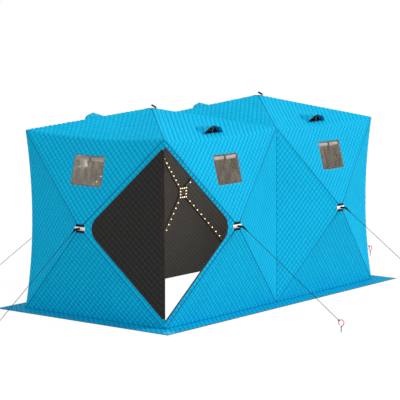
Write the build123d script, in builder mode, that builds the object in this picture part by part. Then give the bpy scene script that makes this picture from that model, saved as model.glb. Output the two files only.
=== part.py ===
from build123d import *

import os
from math import cos, radians, sin

# Double-cell pop-up ice fishing shelter: quilted walls and roof over sprung poles.
# Millimetres. +X runs along the long front wall, -Y is the front with the doorway, +Z is up.
# The origin is on the ground at the middle of the plan.

# Plan and heights of the shelter
cell_length = 1800
cell_width = 1800
eave_height = 1788
eave_inset = 16
wall_hub_height = 900
left_roof_rise = 208
right_roof_rise = 250

# How far the hubs stand out and how far the free edges pull in
hub_pop = 182
corner_bow = 70
eave_sag = 44
back_eave_sag = 8
fabric = 4
panel_cut = 40

# Clearances
seat_gap = 0.3
door_gap = 6

# Doorway and its flap
door_top_border = 45
door_low_border = 50
door_corner_hem = 8
door_apex_radius = 150
hinge_stand_off = 3.2
hinge_cord_radius = 2.5
hinge_web = 1.5
flap_start = 17
flap_lift = 2.5

# Windows
window_width = 380
window_height = 300
window_place = 0.644
window_film = 2
blind_radius = 20
blind_length = 350
blind_drop = 24
blind_strap_width = 26
blind_strap = 1.5

# Vents on the roof slopes
vent_width = 290
front_vent_height = 78
back_vent_height = 98
vent_depth = 270
vent_wall = 3
vent_mouth_from_eave = 110
vent_rear_wall = 6
vent_rear_share = 0.2
vent_prop_radius = 3
vent_prop_back = 14
vent_screen_width = 200
vent_screen_depth = 120
vent_screen = 1.5

# Frame
pole_radius = 5.5
cup_radius = 16
cup_inset = 28
base_cup_height = 17
hub_radius = 34
hub_thickness = 26
hub_boss_radius = 20
hub_boss_clearance = 7
hub_back_off = 1

# Patches, straps and guy lines at the hubs
patch_width = 104
patch_height = 84
roof_cap_size = 84
patch = 4
band_width = 134
band_height = 35
band = 1.5
strap_width = 22
strap = 3
tail_out = 60
tail_down = 60
tail_turn = 25
roof_tab_length = 54
roof_tab_thickness = 15
roof_tab_tilt = 30
roof_tab_shift = 30
rope_radius = 2.5
knot_radius = 7
stake_reach = 1386
stake_ring_radius = 28
stake_rod = 4
stake_ring_turn = 320
stake_shaft_radius = 5
stake_height = 128

# Ground skirt
skirt_width = 195
skirt = 4

# Light string on the back wall
wire_radius = 1.5
wire_square = 64
wire_reach = 0.86
wire_turn_radius = 30

# Places worked out from the driving dimensions
half_length = cell_length
half_width = cell_width / 2
columns = [-half_length, 0, half_length]
rows = [-half_width, half_width]


def side(value):
    """Return -1, 0 or 1 for the side of the middle that a coordinate is on."""
    return (value > 0) - (value < 0)


def base_point(x, y, depth=0):
    """A corner of the base, or the point that lies depth inside it."""
    return Vector(x - side(x) * depth, y - side(y) * depth, 0)


def eave_point(x, y, depth=0):
    """A corner of the eaves, or the point that lies depth inside it."""
    inset = eave_inset + depth * (1 - eave_inset / eave_height)
    return Vector(x - side(x) * inset, y - side(y) * inset, eave_height - depth)


class Bay:
    """One popped-out square of fabric: four corners, the hub and the outward direction."""

    def __init__(self, name, corners, hub, outward):
        self.name = name
        self.corners = corners
        self.hub = hub
        self.outward = outward
        pops = [(hub - self.points(index)).dot(outward) for index in range(4)]
        nearest = min(self.edge_distance(index) for index in range(4))
        self.hole_share = (hub_boss_radius + hub_boss_clearance) / nearest
        self.patch_seat = self.hole_share * min(pops) - seat_gap
        steepest = max(self.steepness(index) for index in range(4))
        thick = fabric * (1 + steepest**2) ** 0.5
        self.hub_front = hub_radius * steepest + thick + hub_back_off

    def points(self, index, depth=0):
        """The corner of that index, at the outer face or depth inside it."""
        kind, x, y = self.corners[index % 4]
        return eave_point(x, y, depth) if kind == "eave" else base_point(x, y, depth)

    def edge_middle(self, index):
        """The middle of the bowed edge after a corner, and the way it is bowed."""
        middle = (self.points(index) + self.points(index + 1)) * 0.5
        inner = (self.points(index, fabric) + self.points(index + 1, fabric)) * 0.5
        bow = (inner - middle).normalized() * bow_of(self, index)
        return middle + bow, bow

    def edge_distance(self, index):
        """How far an edge lies from the apex, seen along the outward direction."""
        reach = (self.points(index) + self.points(index + 1)) * 0.5 - self.hub
        return (reach - self.outward * reach.dot(self.outward)).length

    def steepness(self, index):
        """How steeply a panel falls from the apex to the middle of its edge."""
        fall = self.edge_middle(index)[0] - self.hub
        drop = abs(fall.dot(self.outward))
        return drop / (fall.dot(fall) - drop**2) ** 0.5

    def hub_point(self, depth=0):
        """The apex, at the outer face or depth inside it."""
        return self.hub - self.outward * depth

    def frame(self):
        """A plane on the apex that looks outwards, with its X along the wall or the roof."""
        upwards = Vector(0, 0, 1)
        along = Vector(1, 0, 0) if self.outward.Z else upwards.cross(self.outward)
        return Plane(origin=self.hub, x_dir=along, z_dir=self.outward)

    def cup(self, index):
        """The centre of the cup that holds the pole tips in a corner."""
        kind, x, y = self.corners[index % 4]
        if kind == "eave":
            return eave_point(x, y, cup_inset)
        foot = base_point(x, y, cup_inset)
        return Vector(foot.X, foot.Y, base_cup_height)

    def pole_start(self):
        """The centre of the hub, where its four poles meet."""
        return self.hub_point(self.hub_front + hub_thickness / 2)


def wall_bay(name, left, right, outward):
    """A wall bay between two plan corners, given from left to right seen from outside."""
    middle = (Vector(*left) + Vector(*right)) * 0.5
    hub = middle + outward * hub_pop + Vector(0, 0, wall_hub_height)
    corners = [("base", *left), ("base", *right), ("eave", *right), ("eave", *left)]
    return Bay(name, corners, hub, outward)


def roof_bay(name, left, right, rise):
    """A roof bay between two columns of corners, its hub that far above the eaves."""
    corners = [("eave", left, rows[0]), ("eave", right, rows[0])]
    corners += [("eave", right, rows[1]), ("eave", left, rows[1])]
    hub = Vector((left + right) / 2, 0, eave_height + rise)
    return Bay(name, corners, hub, Vector(0, 0, 1))


def section(ends, depth_ends, bow):
    """The end of a panel: a strip between two outer and two inner points, its long sides bowed."""
    first, last = ends
    deep_first, deep_last = depth_ends
    across = (deep_first - first).cross(last - first)
    plane = Plane(origin=first, x_dir=last - first, z_dir=across)
    outline = [plane.to_local_coords(point) for point in (first, last, deep_last, deep_first)]
    with BuildSketch(plane) as strip:
        with BuildLine():
            for start, end in ((0, 1), (3, 2)):
                if bow:
                    SagittaArc(outline[start], outline[end], -bow)
                else:
                    Line(outline[start], outline[end])
            Line(outline[0], outline[3])
            Line(outline[1], outline[2])
        make_face()
    return strip.sketch


def panel(bay, index, bow=0):
    """One fabric triangle of a bay, from the edge after corner index up to the hub patch."""
    outer = [bay.points(index), bay.points(index + 1)]
    inner = [bay.points(index, fabric), bay.points(index + 1, fabric)]
    apex = bay.hub_point()
    deep_apex = bay.hub_point(fabric)
    near_outer = [apex + (point - apex) * bay.hole_share for point in outer]
    near_inner = [deep_apex + (point - deep_apex) * bay.hole_share for point in inner]
    with BuildPart() as triangle:
        loft(sections=[section(outer, inner, bow), section(near_outer, near_inner, 0)], ruled=True)
    return triangle.part


def bow_of(bay, index):
    """How far the free edge after a corner pulls in."""
    first = bay.corners[index % 4]
    last = bay.corners[(index + 1) % 4]
    if first[0] == "eave" and last[0] == "eave":
        if first[1] == 0 and last[1] == 0:
            return 0
        return back_eave_sag if first[2] + last[2] > half_width else eave_sag
    if first[0] == "base" and last[0] == "base":
        return 0
    return corner_bow if first[1] != 0 and (first[1], first[2]) != door_corner else 0


door_corner = (columns[0], rows[0])
front = Vector(0, -1, 0)
back = Vector(0, 1, 0)
left_out = Vector(-1, 0, 0)
right_out = Vector(1, 0, 0)
front_left = wall_bay("front_left", (columns[0], rows[0]), (columns[1], rows[0]), front)
front_right = wall_bay("front_right", (columns[1], rows[0]), (columns[2], rows[0]), front)
back_left = wall_bay("back_left", (columns[1], rows[1]), (columns[0], rows[1]), back)
back_right = wall_bay("back_right", (columns[2], rows[1]), (columns[1], rows[1]), back)
left_end = wall_bay("left_end", (columns[0], rows[1]), (columns[0], rows[0]), left_out)
right_end = wall_bay("right_end", (columns[2], rows[0]), (columns[2], rows[1]), right_out)
wall_bays = [front_left, front_right, back_left, back_right, left_end, right_end]
left_roof = roof_bay("left_roof", columns[0], columns[1], left_roof_rise)
right_roof = roof_bay("right_roof", columns[1], columns[2], right_roof_rise)
roof_bays = [left_roof, right_roof]


def window_plane(bay):
    """The plane of the upper panel at the window, looking outwards, with Y up the slope."""
    slope = bay.edge_middle(2)[0] - bay.hub
    along = bay.frame().x_dir
    return Plane(origin=bay.hub + slope * window_place, x_dir=along, z_dir=along.cross(slope))


def vent_plane(bay, index):
    """The plane of a roof slope at a vent's mouth: Z down the slope, Y away from the roof."""
    sagged = bay.edge_middle(index)[0]
    downwards = (sagged - bay.hub).normalized()
    across = downwards.cross(Vector(0, 0, 1)).normalized()
    mouth = sagged - downwards * vent_mouth_from_eave
    return Plane(origin=mouth, x_dir=across * -1, z_dir=downwards)


def vent_height(index):
    """The height of a vent's mouth on the front or the back slope."""
    return back_vent_height if index == 2 else front_vent_height


def vent_seat(bay, index):
    """How far off its plane a vent stands, to clear the bowed slope at its sides."""
    sagged, sag = bay.edge_middle(index)
    span = (bay.points(index + 1) - bay.points(index)).length
    bow_left = 1 - vent_mouth_from_eave / (bay.hub - sagged).length
    rise = -sag.dot(vent_plane(bay, index).y_dir) * (vent_width / span) ** 2 / bow_left
    return rise + seat_gap


def write(node, label):
    """Label a finished piece and write its file."""
    node.part.label = label
    export_step(node.part, f"parts/{label}.step")


os.makedirs("parts", exist_ok=True)

# Upper wall panels, each with its window cut through
for bay in wall_bays:
    with BuildPart() as upper_panel:
        add(panel(bay, 2, bow_of(bay, 2)))
        with BuildSketch(window_plane(bay)):
            Rectangle(window_width, window_height)
        extrude(amount=panel_cut, both=True, mode=Mode.SUBTRACT)
    write(upper_panel, f"{bay.name}_upper_panel")

# Lower wall panels, which stand on the ground
for bay in wall_bays:
    with BuildPart() as lower_panel:
        add(panel(bay, 0))
    write(lower_panel, f"{bay.name}_lower_panel")

# Side wall panels, two to a bay; the doorway takes the place of one
for bay in wall_bays:
    with BuildPart() as side_panels:
        for index in (1, 3):
            if bay is not front_left or index != 3:
                add(panel(bay, index, bow_of(bay, index)))
    write(side_panels, f"{bay.name}_side_panels")

# Roof panels: front and back slopes in one node, ends and valley side in another
for bay in roof_bays:
    with BuildPart() as slopes:
        for index in (0, 2):
            add(panel(bay, index, bow_of(bay, index)))
            mouth = vent_plane(bay, index)
            with BuildSketch(Plane(origin=mouth.origin, x_dir=mouth.x_dir, z_dir=mouth.y_dir)):
                with Locations((0, vent_depth / 2)):
                    Rectangle(vent_screen_width, vent_screen_depth)
            extrude(amount=panel_cut, both=True, mode=Mode.SUBTRACT)
    write(slopes, f"{bay.name}_slopes")
    with BuildPart() as roof_ends:
        for index in (1, 3):
            add(panel(bay, index, bow_of(bay, index)))
    write(roof_ends, f"{bay.name}_ends")

# Doorway: the hinge line runs up the near corner, a little outside the fabric
hinge_foot = front_left.points(0) + Vector(-1, -1, 0).normalized() * hinge_stand_off
hinge_up = (front_left.points(3) - front_left.points(0)).normalized()


def door_frame(bay):
    """A plane on the hinge line: X along the side panel of a bay, Y up the hinge."""
    reach = bay.hub - front_left.points(0)
    along = (reach - hinge_up * reach.dot(hinge_up)).normalized()
    return Plane(origin=hinge_foot, x_dir=along, z_dir=along.cross(hinge_up))


closed_frame = door_frame(front_left)
open_frame = door_frame(left_end)


def doorway(start, gap):
    """Corners of the doorway on the closed plane: low, tip and high, drawn in by a gap."""
    foot = closed_frame.to_local_coords(front_left.points(0))
    head = closed_frame.to_local_coords(front_left.points(3))
    tip = closed_frame.to_local_coords(front_left.hub)
    reach = min(tip.X, open_frame.to_local_coords(left_end.hub).X)
    low_slope = (tip.Y - foot.Y) / (reach - foot.X)
    high_slope = (tip.Y - head.Y) / (reach - head.X)
    low = foot.Y - low_slope * foot.X + (door_low_border + gap) * (1 + low_slope**2) ** 0.5
    high = head.Y - high_slope * head.X - (door_top_border + gap) * (1 + high_slope**2) ** 0.5
    meet = (high - low) / (low_slope - high_slope)
    corners = [(start, low + low_slope * start), (meet, low + low_slope * meet)]
    return corners + [(start, high + high_slope * start)]


def doorway_sketch(plane, start, gap):
    """The doorway's outline on a plane, with its tip rounded."""
    with BuildSketch(plane) as outline:
        with BuildLine():
            Polyline(*doorway(start, gap), close=True)
        make_face()
        fillet(outline.vertices().sort_by(Axis.X)[-1], door_apex_radius - gap)
    return outline.sketch


# Door surround: the fabric left round the doorway
with BuildPart() as door_surround:
    add(panel(front_left, 3))
    corner_line = closed_frame.to_local_coords(front_left.points(0)).X
    extrude(
        doorway_sketch(closed_frame, corner_line + door_corner_hem, 0),
        amount=panel_cut,
        both=True,
        mode=Mode.SUBTRACT,
    )
write(door_surround, "door_surround")

# Door flap, open: folded back round the corner and flat against the left end wall
flap_corners = doorway(flap_start, door_gap)
flap_low = flap_corners[0][1]
flap_high = flap_corners[2][1]
hinge_section = Plane(
    origin=hinge_foot + hinge_up * flap_low, x_dir=open_frame.x_dir, z_dir=hinge_up
)
with BuildPart() as door_flap:
    extrude(doorway_sketch(open_frame.offset(-flap_lift), flap_start, door_gap), amount=-fabric)
    with BuildSketch(hinge_section):
        Circle(hinge_cord_radius)
        with Locations(((flap_start + hinge_web) / 2, 0)):
            Rectangle(flap_start + hinge_web, hinge_web)
        with Locations((flap_start + hinge_web / 2, flap_lift / 2)):
            Rectangle(hinge_web, flap_lift)
    extrude(amount=flap_high - flap_low)
write(door_flap, "door_flap")

# Window films, the rolled blinds behind them and the straps round the rolls
film_depth = (fabric + window_film) / 2
blind_depth = film_depth + 2 * seat_gap + blind_strap + blind_radius
with BuildPart() as window_panes:
    for bay in wall_bays:
        with BuildSketch(window_plane(bay).offset(-film_depth)):
            Rectangle(window_width - 2 * seat_gap, window_height - 2 * seat_gap)
        extrude(amount=window_film)
write(window_panes, "window_panes")


def roll_plane(bay, shift):
    """A plane across a blind's roll, shift away from the window's middle."""
    window = window_plane(bay)
    centre = window.from_local_coords(
        Vector(shift, window_height / 2 - blind_drop, -blind_depth)
    )
    return Plane(origin=centre, x_dir=window.y_dir, z_dir=window.x_dir)


with BuildPart() as window_blinds:
    for bay in wall_bays:
        with BuildSketch(roll_plane(bay, -blind_length / 2)):
            Circle(blind_radius)
        extrude(amount=blind_length)
write(window_blinds, "window_blinds")

with BuildPart() as blind_straps:
    for bay in wall_bays:
        with BuildSketch(roll_plane(bay, -blind_strap_width / 2)):
            Circle(blind_radius + seat_gap + blind_strap)
            Circle(blind_radius + seat_gap, mode=Mode.SUBTRACT)
        extrude(amount=blind_strap_width)
write(blind_straps, "blind_straps")


def arch(plane, width, height):
    """A vent's cross-section: an arc standing on its chord."""
    with BuildSketch(plane) as outline:
        with BuildLine():
            ThreePointArc((-width / 2, 0), (0, height), (width / 2, 0))
            Line((width / 2, 0), (-width / 2, 0))
        make_face()
    return outline.sketch


def lifted(plane, amount, back=0):
    """A vent's plane raised off the roof and moved back up the slope."""
    origin = plane.origin + plane.y_dir * amount - plane.z_dir * back
    return Plane(origin=origin, x_dir=plane.x_dir, z_dir=plane.z_dir)


# Vent hoods: arched shells, open at the mouth and below
with BuildPart() as vent_hoods:
    for bay in roof_bays:
        for index in (0, 2):
            mouth = lifted(vent_plane(bay, index), vent_seat(bay, index))
            rear = lifted(mouth, 0, vent_depth)
            inner_rear = lifted(mouth, 0, vent_depth - vent_rear_wall)
            tall = vent_height(index)
            width = vent_width * vent_rear_share
            height = tall * vent_rear_share
            loft(sections=[arch(mouth, vent_width, tall), arch(rear, width, height)])
            inside = [
                arch(mouth, vent_width - 2 * vent_wall, tall - vent_wall),
                arch(inner_rear, width - 2 * vent_wall, height - vent_wall),
            ]
            loft(sections=inside, mode=Mode.SUBTRACT)
write(vent_hoods, "vent_hoods")

# Props that hold the vents open
with BuildPart() as vent_props:
    for bay in roof_bays:
        for index in (0, 2):
            inner_height = vent_height(index) - vent_wall
            inner_rear_height = vent_height(index) * vent_rear_share - vent_wall
            fall = (inner_height - inner_rear_height) / (vent_depth - vent_rear_wall)
            drop = fall * (vent_prop_back + vent_prop_radius) + 3 * seat_gap
            foot = lifted(vent_plane(bay, index), seat_gap, vent_prop_back)
            with BuildSketch(Plane(origin=foot.origin, x_dir=foot.x_dir, z_dir=foot.y_dir)):
                Circle(vent_prop_radius)
            extrude(amount=inner_height - drop + vent_seat(bay, index))
write(vent_props, "vent_props")

# Screens in the roof below the hoods
with BuildPart() as vent_screens:
    for bay in roof_bays:
        for index in (0, 2):
            mouth = lifted(vent_plane(bay, index), -(fabric + vent_screen) / 2, vent_depth / 2)
            with BuildSketch(Plane(origin=mouth.origin, x_dir=mouth.x_dir, z_dir=mouth.y_dir)):
                Rectangle(vent_screen_width - 2 * seat_gap, vent_screen_depth - 2 * seat_gap)
            extrude(amount=vent_screen)
write(vent_screens, "vent_screens")


def poles(bay):
    """The four rods of a bay, each from just outside the hub to just outside its corner cup."""
    start = bay.pole_start()
    rods = []
    for index in range(4):
        reach = bay.cup(index) - start
        direction = reach.normalized()
        tilt = abs(direction.dot(bay.outward))
        first = (hub_radius + seat_gap + pole_radius * tilt) / (1 - tilt**2) ** 0.5
        with BuildPart() as rod:
            with BuildSketch(Plane(origin=start + direction * first, z_dir=direction)):
                Circle(pole_radius)
            extrude(amount=reach.length - cup_radius - seat_gap - first)
        rods.append(rod.part)
    return rods


with BuildPart() as wall_poles:
    for bay in wall_bays:
        add(poles(bay))
write(wall_poles, "wall_poles")

with BuildPart() as roof_poles:
    for bay in roof_bays:
        add(poles(bay))
write(roof_poles, "roof_poles")

# Cups that hold the pole tips in the corners
cup_places = [eave_point(x, y, cup_inset) for x in columns for y in rows]
for x in columns:
    for y in rows:
        foot = base_point(x, y, cup_inset)
        cup_places.append(Vector(foot.X, foot.Y, base_cup_height))
with BuildPart() as corner_cups:
    with Locations(*cup_places):
        Sphere(cup_radius)
write(corner_cups, "corner_cups")


def hub_body(bay):
    """A hub: the disc that the poles plug into, with a boss through the fabric."""
    plane = bay.frame().offset(-bay.hub_front)
    with BuildPart() as body:
        with BuildSketch(plane):
            Circle(hub_radius)
        extrude(amount=-hub_thickness)
        with BuildSketch(plane):
            Circle(hub_boss_radius)
        extrude(amount=bay.hub_front - bay.patch_seat - seat_gap)
    return body.part


with BuildPart() as wall_hubs:
    for bay in wall_bays:
        add(hub_body(bay))
write(wall_hubs, "wall_hubs")

with BuildPart() as roof_hubs:
    for bay in roof_bays:
        add(hub_body(bay))
write(roof_hubs, "roof_hubs")


class GuyLine:
    """The line from a wall hub to its stake: a strap straight out, bent down to the rope."""

    def __init__(self, bay):
        self.along = bay.frame().x_dir
        ring_height = stake_height - stake_rod - stake_ring_radius
        out = stake_reach - hub_pop
        self.ring = bay.hub + bay.outward * out + Vector(0, 0, ring_height - bay.hub.Z)
        self.outward = bay.outward
        self.start = bay.hub + bay.outward * (patch + band + seat_gap - bay.patch_seat)
        self.bend = self.start + bay.outward * tail_out
        self.down = (self.ring - self.bend).normalized()
        self.tail_end = self.bend + self.down * tail_down
        back = stake_ring_radius + stake_rod + seat_gap + knot_radius
        self.knot = self.ring - self.down * back


guy_lines = [GuyLine(bay) for bay in wall_bays]

# Hub patches of the walls, each with the strap end that its guy line leaves from
with BuildPart() as hub_patches:
    for bay, line in zip(wall_bays, guy_lines):
        with BuildSketch(bay.frame().offset(-bay.patch_seat)):
            Rectangle(patch_width, patch_height)
        extrude(amount=patch)
        with BuildLine() as bent:
            FilletPolyline(line.start, line.bend, line.tail_end, radius=tail_turn)
        with BuildSketch(Plane(origin=line.start, x_dir=line.along, z_dir=line.outward)):
            Rectangle(strap_width, strap)
        sweep(path=bent.line)
write(hub_patches, "hub_patches")

with BuildPart() as hub_bands:
    for bay in wall_bays:
        with BuildSketch(bay.frame().offset(patch - bay.patch_seat)):
            Rectangle(band_width, band_height)
        extrude(amount=band)
write(hub_bands, "hub_bands")

# Roof hub caps and the webbing loops that stand on them
with BuildPart() as roof_hub_caps:
    for bay in roof_bays:
        with BuildSketch(bay.frame().offset(-bay.patch_seat)):
            Rectangle(roof_cap_size, roof_cap_size)
        extrude(amount=patch)
write(roof_hub_caps, "roof_hub_caps")

with BuildPart() as roof_tabs:
    for bay in roof_bays:
        level = Vector(-1, 1, 0).normalized() * cos(radians(roof_tab_tilt))
        lean = level + Vector(0, 0, sin(radians(roof_tab_tilt)))
        rise = patch - bay.patch_seat + seat_gap + roof_tab_thickness / 2
        foot = bay.hub + Vector(roof_tab_shift, -roof_tab_shift, rise)
        middle = foot + lean * (roof_tab_length - roof_tab_thickness) / 2
        with BuildSketch(Plane(origin=middle, x_dir=lean, z_dir=lean.cross(Vector(0, 0, 1)))):
            SlotOverall(roof_tab_length, roof_tab_thickness)
            SlotOverall(
                roof_tab_length - 2 * strap, roof_tab_thickness - 2 * strap, mode=Mode.SUBTRACT
            )
        extrude(amount=strap_width / 2, both=True)
write(roof_tabs, "roof_tabs")

# Guy lines, taut from the strap ends to the stakes, each ending in a knot
with BuildPart() as guy_ropes:
    for line in guy_lines:
        top = line.tail_end + line.down * seat_gap
        with BuildSketch(Plane(origin=top, z_dir=line.down)):
            Circle(rope_radius)
        extrude(amount=(line.knot - top).length)
        with Locations(line.knot):
            Sphere(knot_radius)
write(guy_ropes, "guy_ropes")

# Stakes: a rod from the ground with an open ring bent at its top
with BuildPart() as stake_rings:
    for line in guy_lines:
        across = Plane(origin=line.ring, x_dir=(0, 0, -1), z_dir=line.along)
        with BuildSketch(Plane(origin=across.origin, x_dir=across.x_dir, z_dir=across.y_dir)):
            with Locations((stake_ring_radius, 0)):
                Circle(stake_rod)
        revolve(axis=Axis(line.ring, line.along), revolution_arc=stake_ring_turn)
write(stake_rings, "stake_rings")

with BuildPart() as stake_shafts:
    for line in guy_lines:
        top = line.ring.Z - stake_ring_radius - stake_rod - seat_gap
        with BuildSketch(Plane(origin=(line.ring.X, line.ring.Y, 0))):
            Circle(stake_shaft_radius)
        extrude(amount=top)
write(stake_shafts, "stake_shafts")


def skirt_strip(first, last, outward):
    """One strip of the ground skirt between two plan corners, mitred at its ends."""
    lean = hub_pop / wall_hub_height * skirt + seat_gap
    points = []
    for corner, reach in ((first, lean), (last, lean), (last, skirt_width), (first, skirt_width)):
        points.append((corner[0] + side(corner[0]) * reach, corner[1] + side(corner[1]) * reach))
    with BuildPart() as strip:
        with BuildSketch():
            with BuildLine():
                Polyline(*points, close=True)
            make_face()
        extrude(amount=skirt)
    return strip.part


with BuildPart() as long_skirts:
    for row in rows:
        add(skirt_strip((columns[0], row), (columns[2], row), row))
write(long_skirts, "long_skirts")

with BuildPart() as end_skirts:
    for column in (columns[0], columns[2]):
        add(skirt_strip((column, rows[0]), (column, rows[1]), column))
write(end_skirts, "end_skirts")


def wire_point(bay, index, distance):
    """A point beside a pole, on its inner side, that far from the hub along it."""
    start = bay.pole_start()
    direction = (bay.cup(index) - start).normalized()
    off = pole_radius + wire_radius + seat_gap
    inward = (bay.outward * -1) - direction * (bay.outward * -1).dot(direction)
    return start + direction * distance + inward.normalized() * off


# Light string along the poles of the back wall, two runs to a bay
with BuildPart() as light_string:
    for bay in (back_left, back_right):
        for low, high in ((0, 1), (3, 2)):
            reach = (bay.cup(low) - bay.pole_start()).length * wire_reach
            route = [wire_point(bay, low, reach), wire_point(bay, low, wire_square)]
            route += [wire_point(bay, high, wire_square), wire_point(bay, high, reach)]
            with BuildLine() as wire:
                FilletPolyline(*route, radius=wire_turn_radius)
            with BuildSketch(Plane(origin=wire.line @ 0, z_dir=wire.line % 0)):
                Circle(wire_radius)
            sweep(path=wire.line)
write(light_string, "light_string")
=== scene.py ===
import math

import bmesh
import bpy
import numpy as np
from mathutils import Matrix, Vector, noise


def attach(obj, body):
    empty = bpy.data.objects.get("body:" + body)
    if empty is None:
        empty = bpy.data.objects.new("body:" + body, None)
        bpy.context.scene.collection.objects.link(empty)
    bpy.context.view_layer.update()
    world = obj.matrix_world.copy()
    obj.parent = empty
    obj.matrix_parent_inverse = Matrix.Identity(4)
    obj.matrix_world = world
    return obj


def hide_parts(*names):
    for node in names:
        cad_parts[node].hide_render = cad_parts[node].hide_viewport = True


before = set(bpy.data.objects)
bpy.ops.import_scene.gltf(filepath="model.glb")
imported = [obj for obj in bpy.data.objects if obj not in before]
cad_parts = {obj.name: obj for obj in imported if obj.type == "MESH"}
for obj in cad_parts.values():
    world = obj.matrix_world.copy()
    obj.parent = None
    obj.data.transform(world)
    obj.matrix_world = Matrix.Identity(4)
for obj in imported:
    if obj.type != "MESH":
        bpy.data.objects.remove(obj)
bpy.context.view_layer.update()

# Driving dimensions of the frame, in metres
CELL = 1.8
HALF_WIDTH = 0.9
EAVE = 1.788
INSET = 0.016
WALL_HUB = 0.9
ROOF_RISES = (0.208, 0.25)
POP = 0.182
CORNER_BOW = 0.070
BACK_SAG = 0.008
SAG_IN = 0.014
SAG_DOWN = 0.043
FABRIC = 0.004
HOLE_REACH = 0.027
DOOR_CORNER = (-CELL, -HALF_WIDTH)

# Quilting
PITCH = 0.0454
STEPS = (0.0, 0.3, 0.7)
ROOF_END_LEAN = -11
PUFF = 0.0080
MINOR_DEPTH = 0.6
LINING_PUFF = 0.0035
FLAP_WALL_PUFF = 0.0016
SEAM_FADE = 0.016
GROOVE_SINK = 0.0005
BILLOW, BILLOW_FADE = 0.0045, 0.07
FAN, FAN_REACH, FAN_SPREAD, FAN_FOLDS = 0.0022, 0.09, 0.12, 22

# Painted shade in the stitch grooves and along the seams, threads and yarns, as the quilted materials draw
# them
GROOVE_SHADE_WIDTH = 0.009
THREAD_WIDTH = (0.0004, 0.0009)
STITCH_STEP = 0.0042
STITCH_GAP = 0.3
SEAM_SHADE_BAND = (0.003, 0.010)
SEAM_THREAD_PLACE = 0.0065
SEAM_THREAD_HALF = 0.0006
SEAM_STITCH_STEP = 0.005
YARN_SCALE = 420


def unit(v):
    v = np.asarray(v, float)
    return v / np.linalg.norm(v)


def side(value):
    return int(value > 0) - int(value < 0)


def smooth(t):
    t = np.clip(t, 0.0, 1.0)
    return t * t * (3 - 2 * t)


# Materials


class Nodes:
    """A material under construction: its node tree and short ways to add to it."""

    def __init__(self, name):
        self.material = bpy.data.materials.new(name)
        self.material.use_nodes = True
        self.tree = self.material.node_tree
        self.shader = self.tree.nodes["Principled BSDF"]

    def add(self, kind, **settings):
        node = self.tree.nodes.new(kind)
        for key, value in settings.items():
            setattr(node, key, value)
        return node

    def link(self, out, into):
        self.tree.links.new(out, into)

    def math(self, operation, first, second=0.0, clamp=False):
        node = self.add("ShaderNodeMath", operation=operation, use_clamp=clamp)
        for index, value in enumerate((first, second)):
            if isinstance(value, (int, float)):
                node.inputs[index].default_value = value
            else:
                self.link(value, node.inputs[index])
        return node.outputs[0]

    def mix(self, factor, first, second):
        node = self.add("ShaderNodeMix", data_type="RGBA")
        for index, value in ((0, factor), (6, first), (7, second)):
            if isinstance(value, (int, float)):
                node.inputs[index].default_value = value
            elif isinstance(value, tuple):
                node.inputs[index].default_value = (*value, 1)
            else:
                self.link(value, node.inputs[index])
        return node.outputs[2]

    def noise(self, scale, detail=3.0, source=None, roughness=0.5):
        node = self.add("ShaderNodeTexNoise")
        node.inputs["Scale"].default_value = scale
        node.inputs["Detail"].default_value = detail
        node.inputs["Roughness"].default_value = roughness
        if source is None:
            source = self.add("ShaderNodeTexCoord").outputs["Object"]
        self.link(source, node.inputs["Vector"])
        return node.outputs["Fac"]

    def uv(self, name):
        return self.add("ShaderNodeUVMap", uv_map=name).outputs[0]

    def split(self, vector):
        node = self.add("ShaderNodeSeparateXYZ")
        self.link(vector, node.inputs[0])
        return node.outputs[0], node.outputs[1]

    def ramp(self, value, low, high, out_low=0.0, out_high=1.0):
        node = self.add("ShaderNodeMapRange", interpolation_type="SMOOTHSTEP")
        self.link(value, node.inputs[0])
        for index, number in enumerate((low, high, out_low, out_high)):
            node.inputs[index + 1].default_value = number
        return node.outputs[0]

    def bump(self, height, distance, strength=1.0):
        node = self.add("ShaderNodeBump")
        node.inputs["Distance"].default_value = distance
        node.inputs["Strength"].default_value = strength
        self.link(height, node.inputs["Height"])
        self.link(node.outputs[0], self.shader.inputs["Normal"])
        return node

    def finish(self, colour, roughness=0.6, **sockets):
        if isinstance(colour, tuple):
            self.shader.inputs["Base Color"].default_value = (*colour, 1)
        else:
            self.link(colour, self.shader.inputs["Base Color"])
        if isinstance(roughness, (int, float)):
            self.shader.inputs["Roughness"].default_value = roughness
        else:
            self.link(roughness, self.shader.inputs["Roughness"])
        for key, value in sockets.items():
            name = key.replace("_", " ")
            self.shader.inputs[name].default_value = value
        return self.material


def linear(r, g, b):
    """A colour given as 0 to 255 screen values, as the shaders take it."""
    def one(c):
        c /= 255
        return c / 12.92 if c <= 0.04045 else ((c + 0.055) / 1.055) ** 2.4
    return (one(r), one(g), one(b))


def weave(make, source, scale, size):
    """Plain weave height: two crossed sets of yarns."""
    s, t = make.split(source)
    waves = []
    for axis in (s, t):
        waves.append(make.math("PINGPONG", make.math("MULTIPLY", axis, 2 * scale), 1.0))
    return make.math("MULTIPLY", make.math("ADD", waves[0], waves[1]), size)


def dashes(make, along, step):
    """1 on each stitch and 0 in the gaps, along a line."""
    return make.math("GREATER_THAN", make.math("FRACT", make.math("DIVIDE", along, step)), STITCH_GAP)


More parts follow.
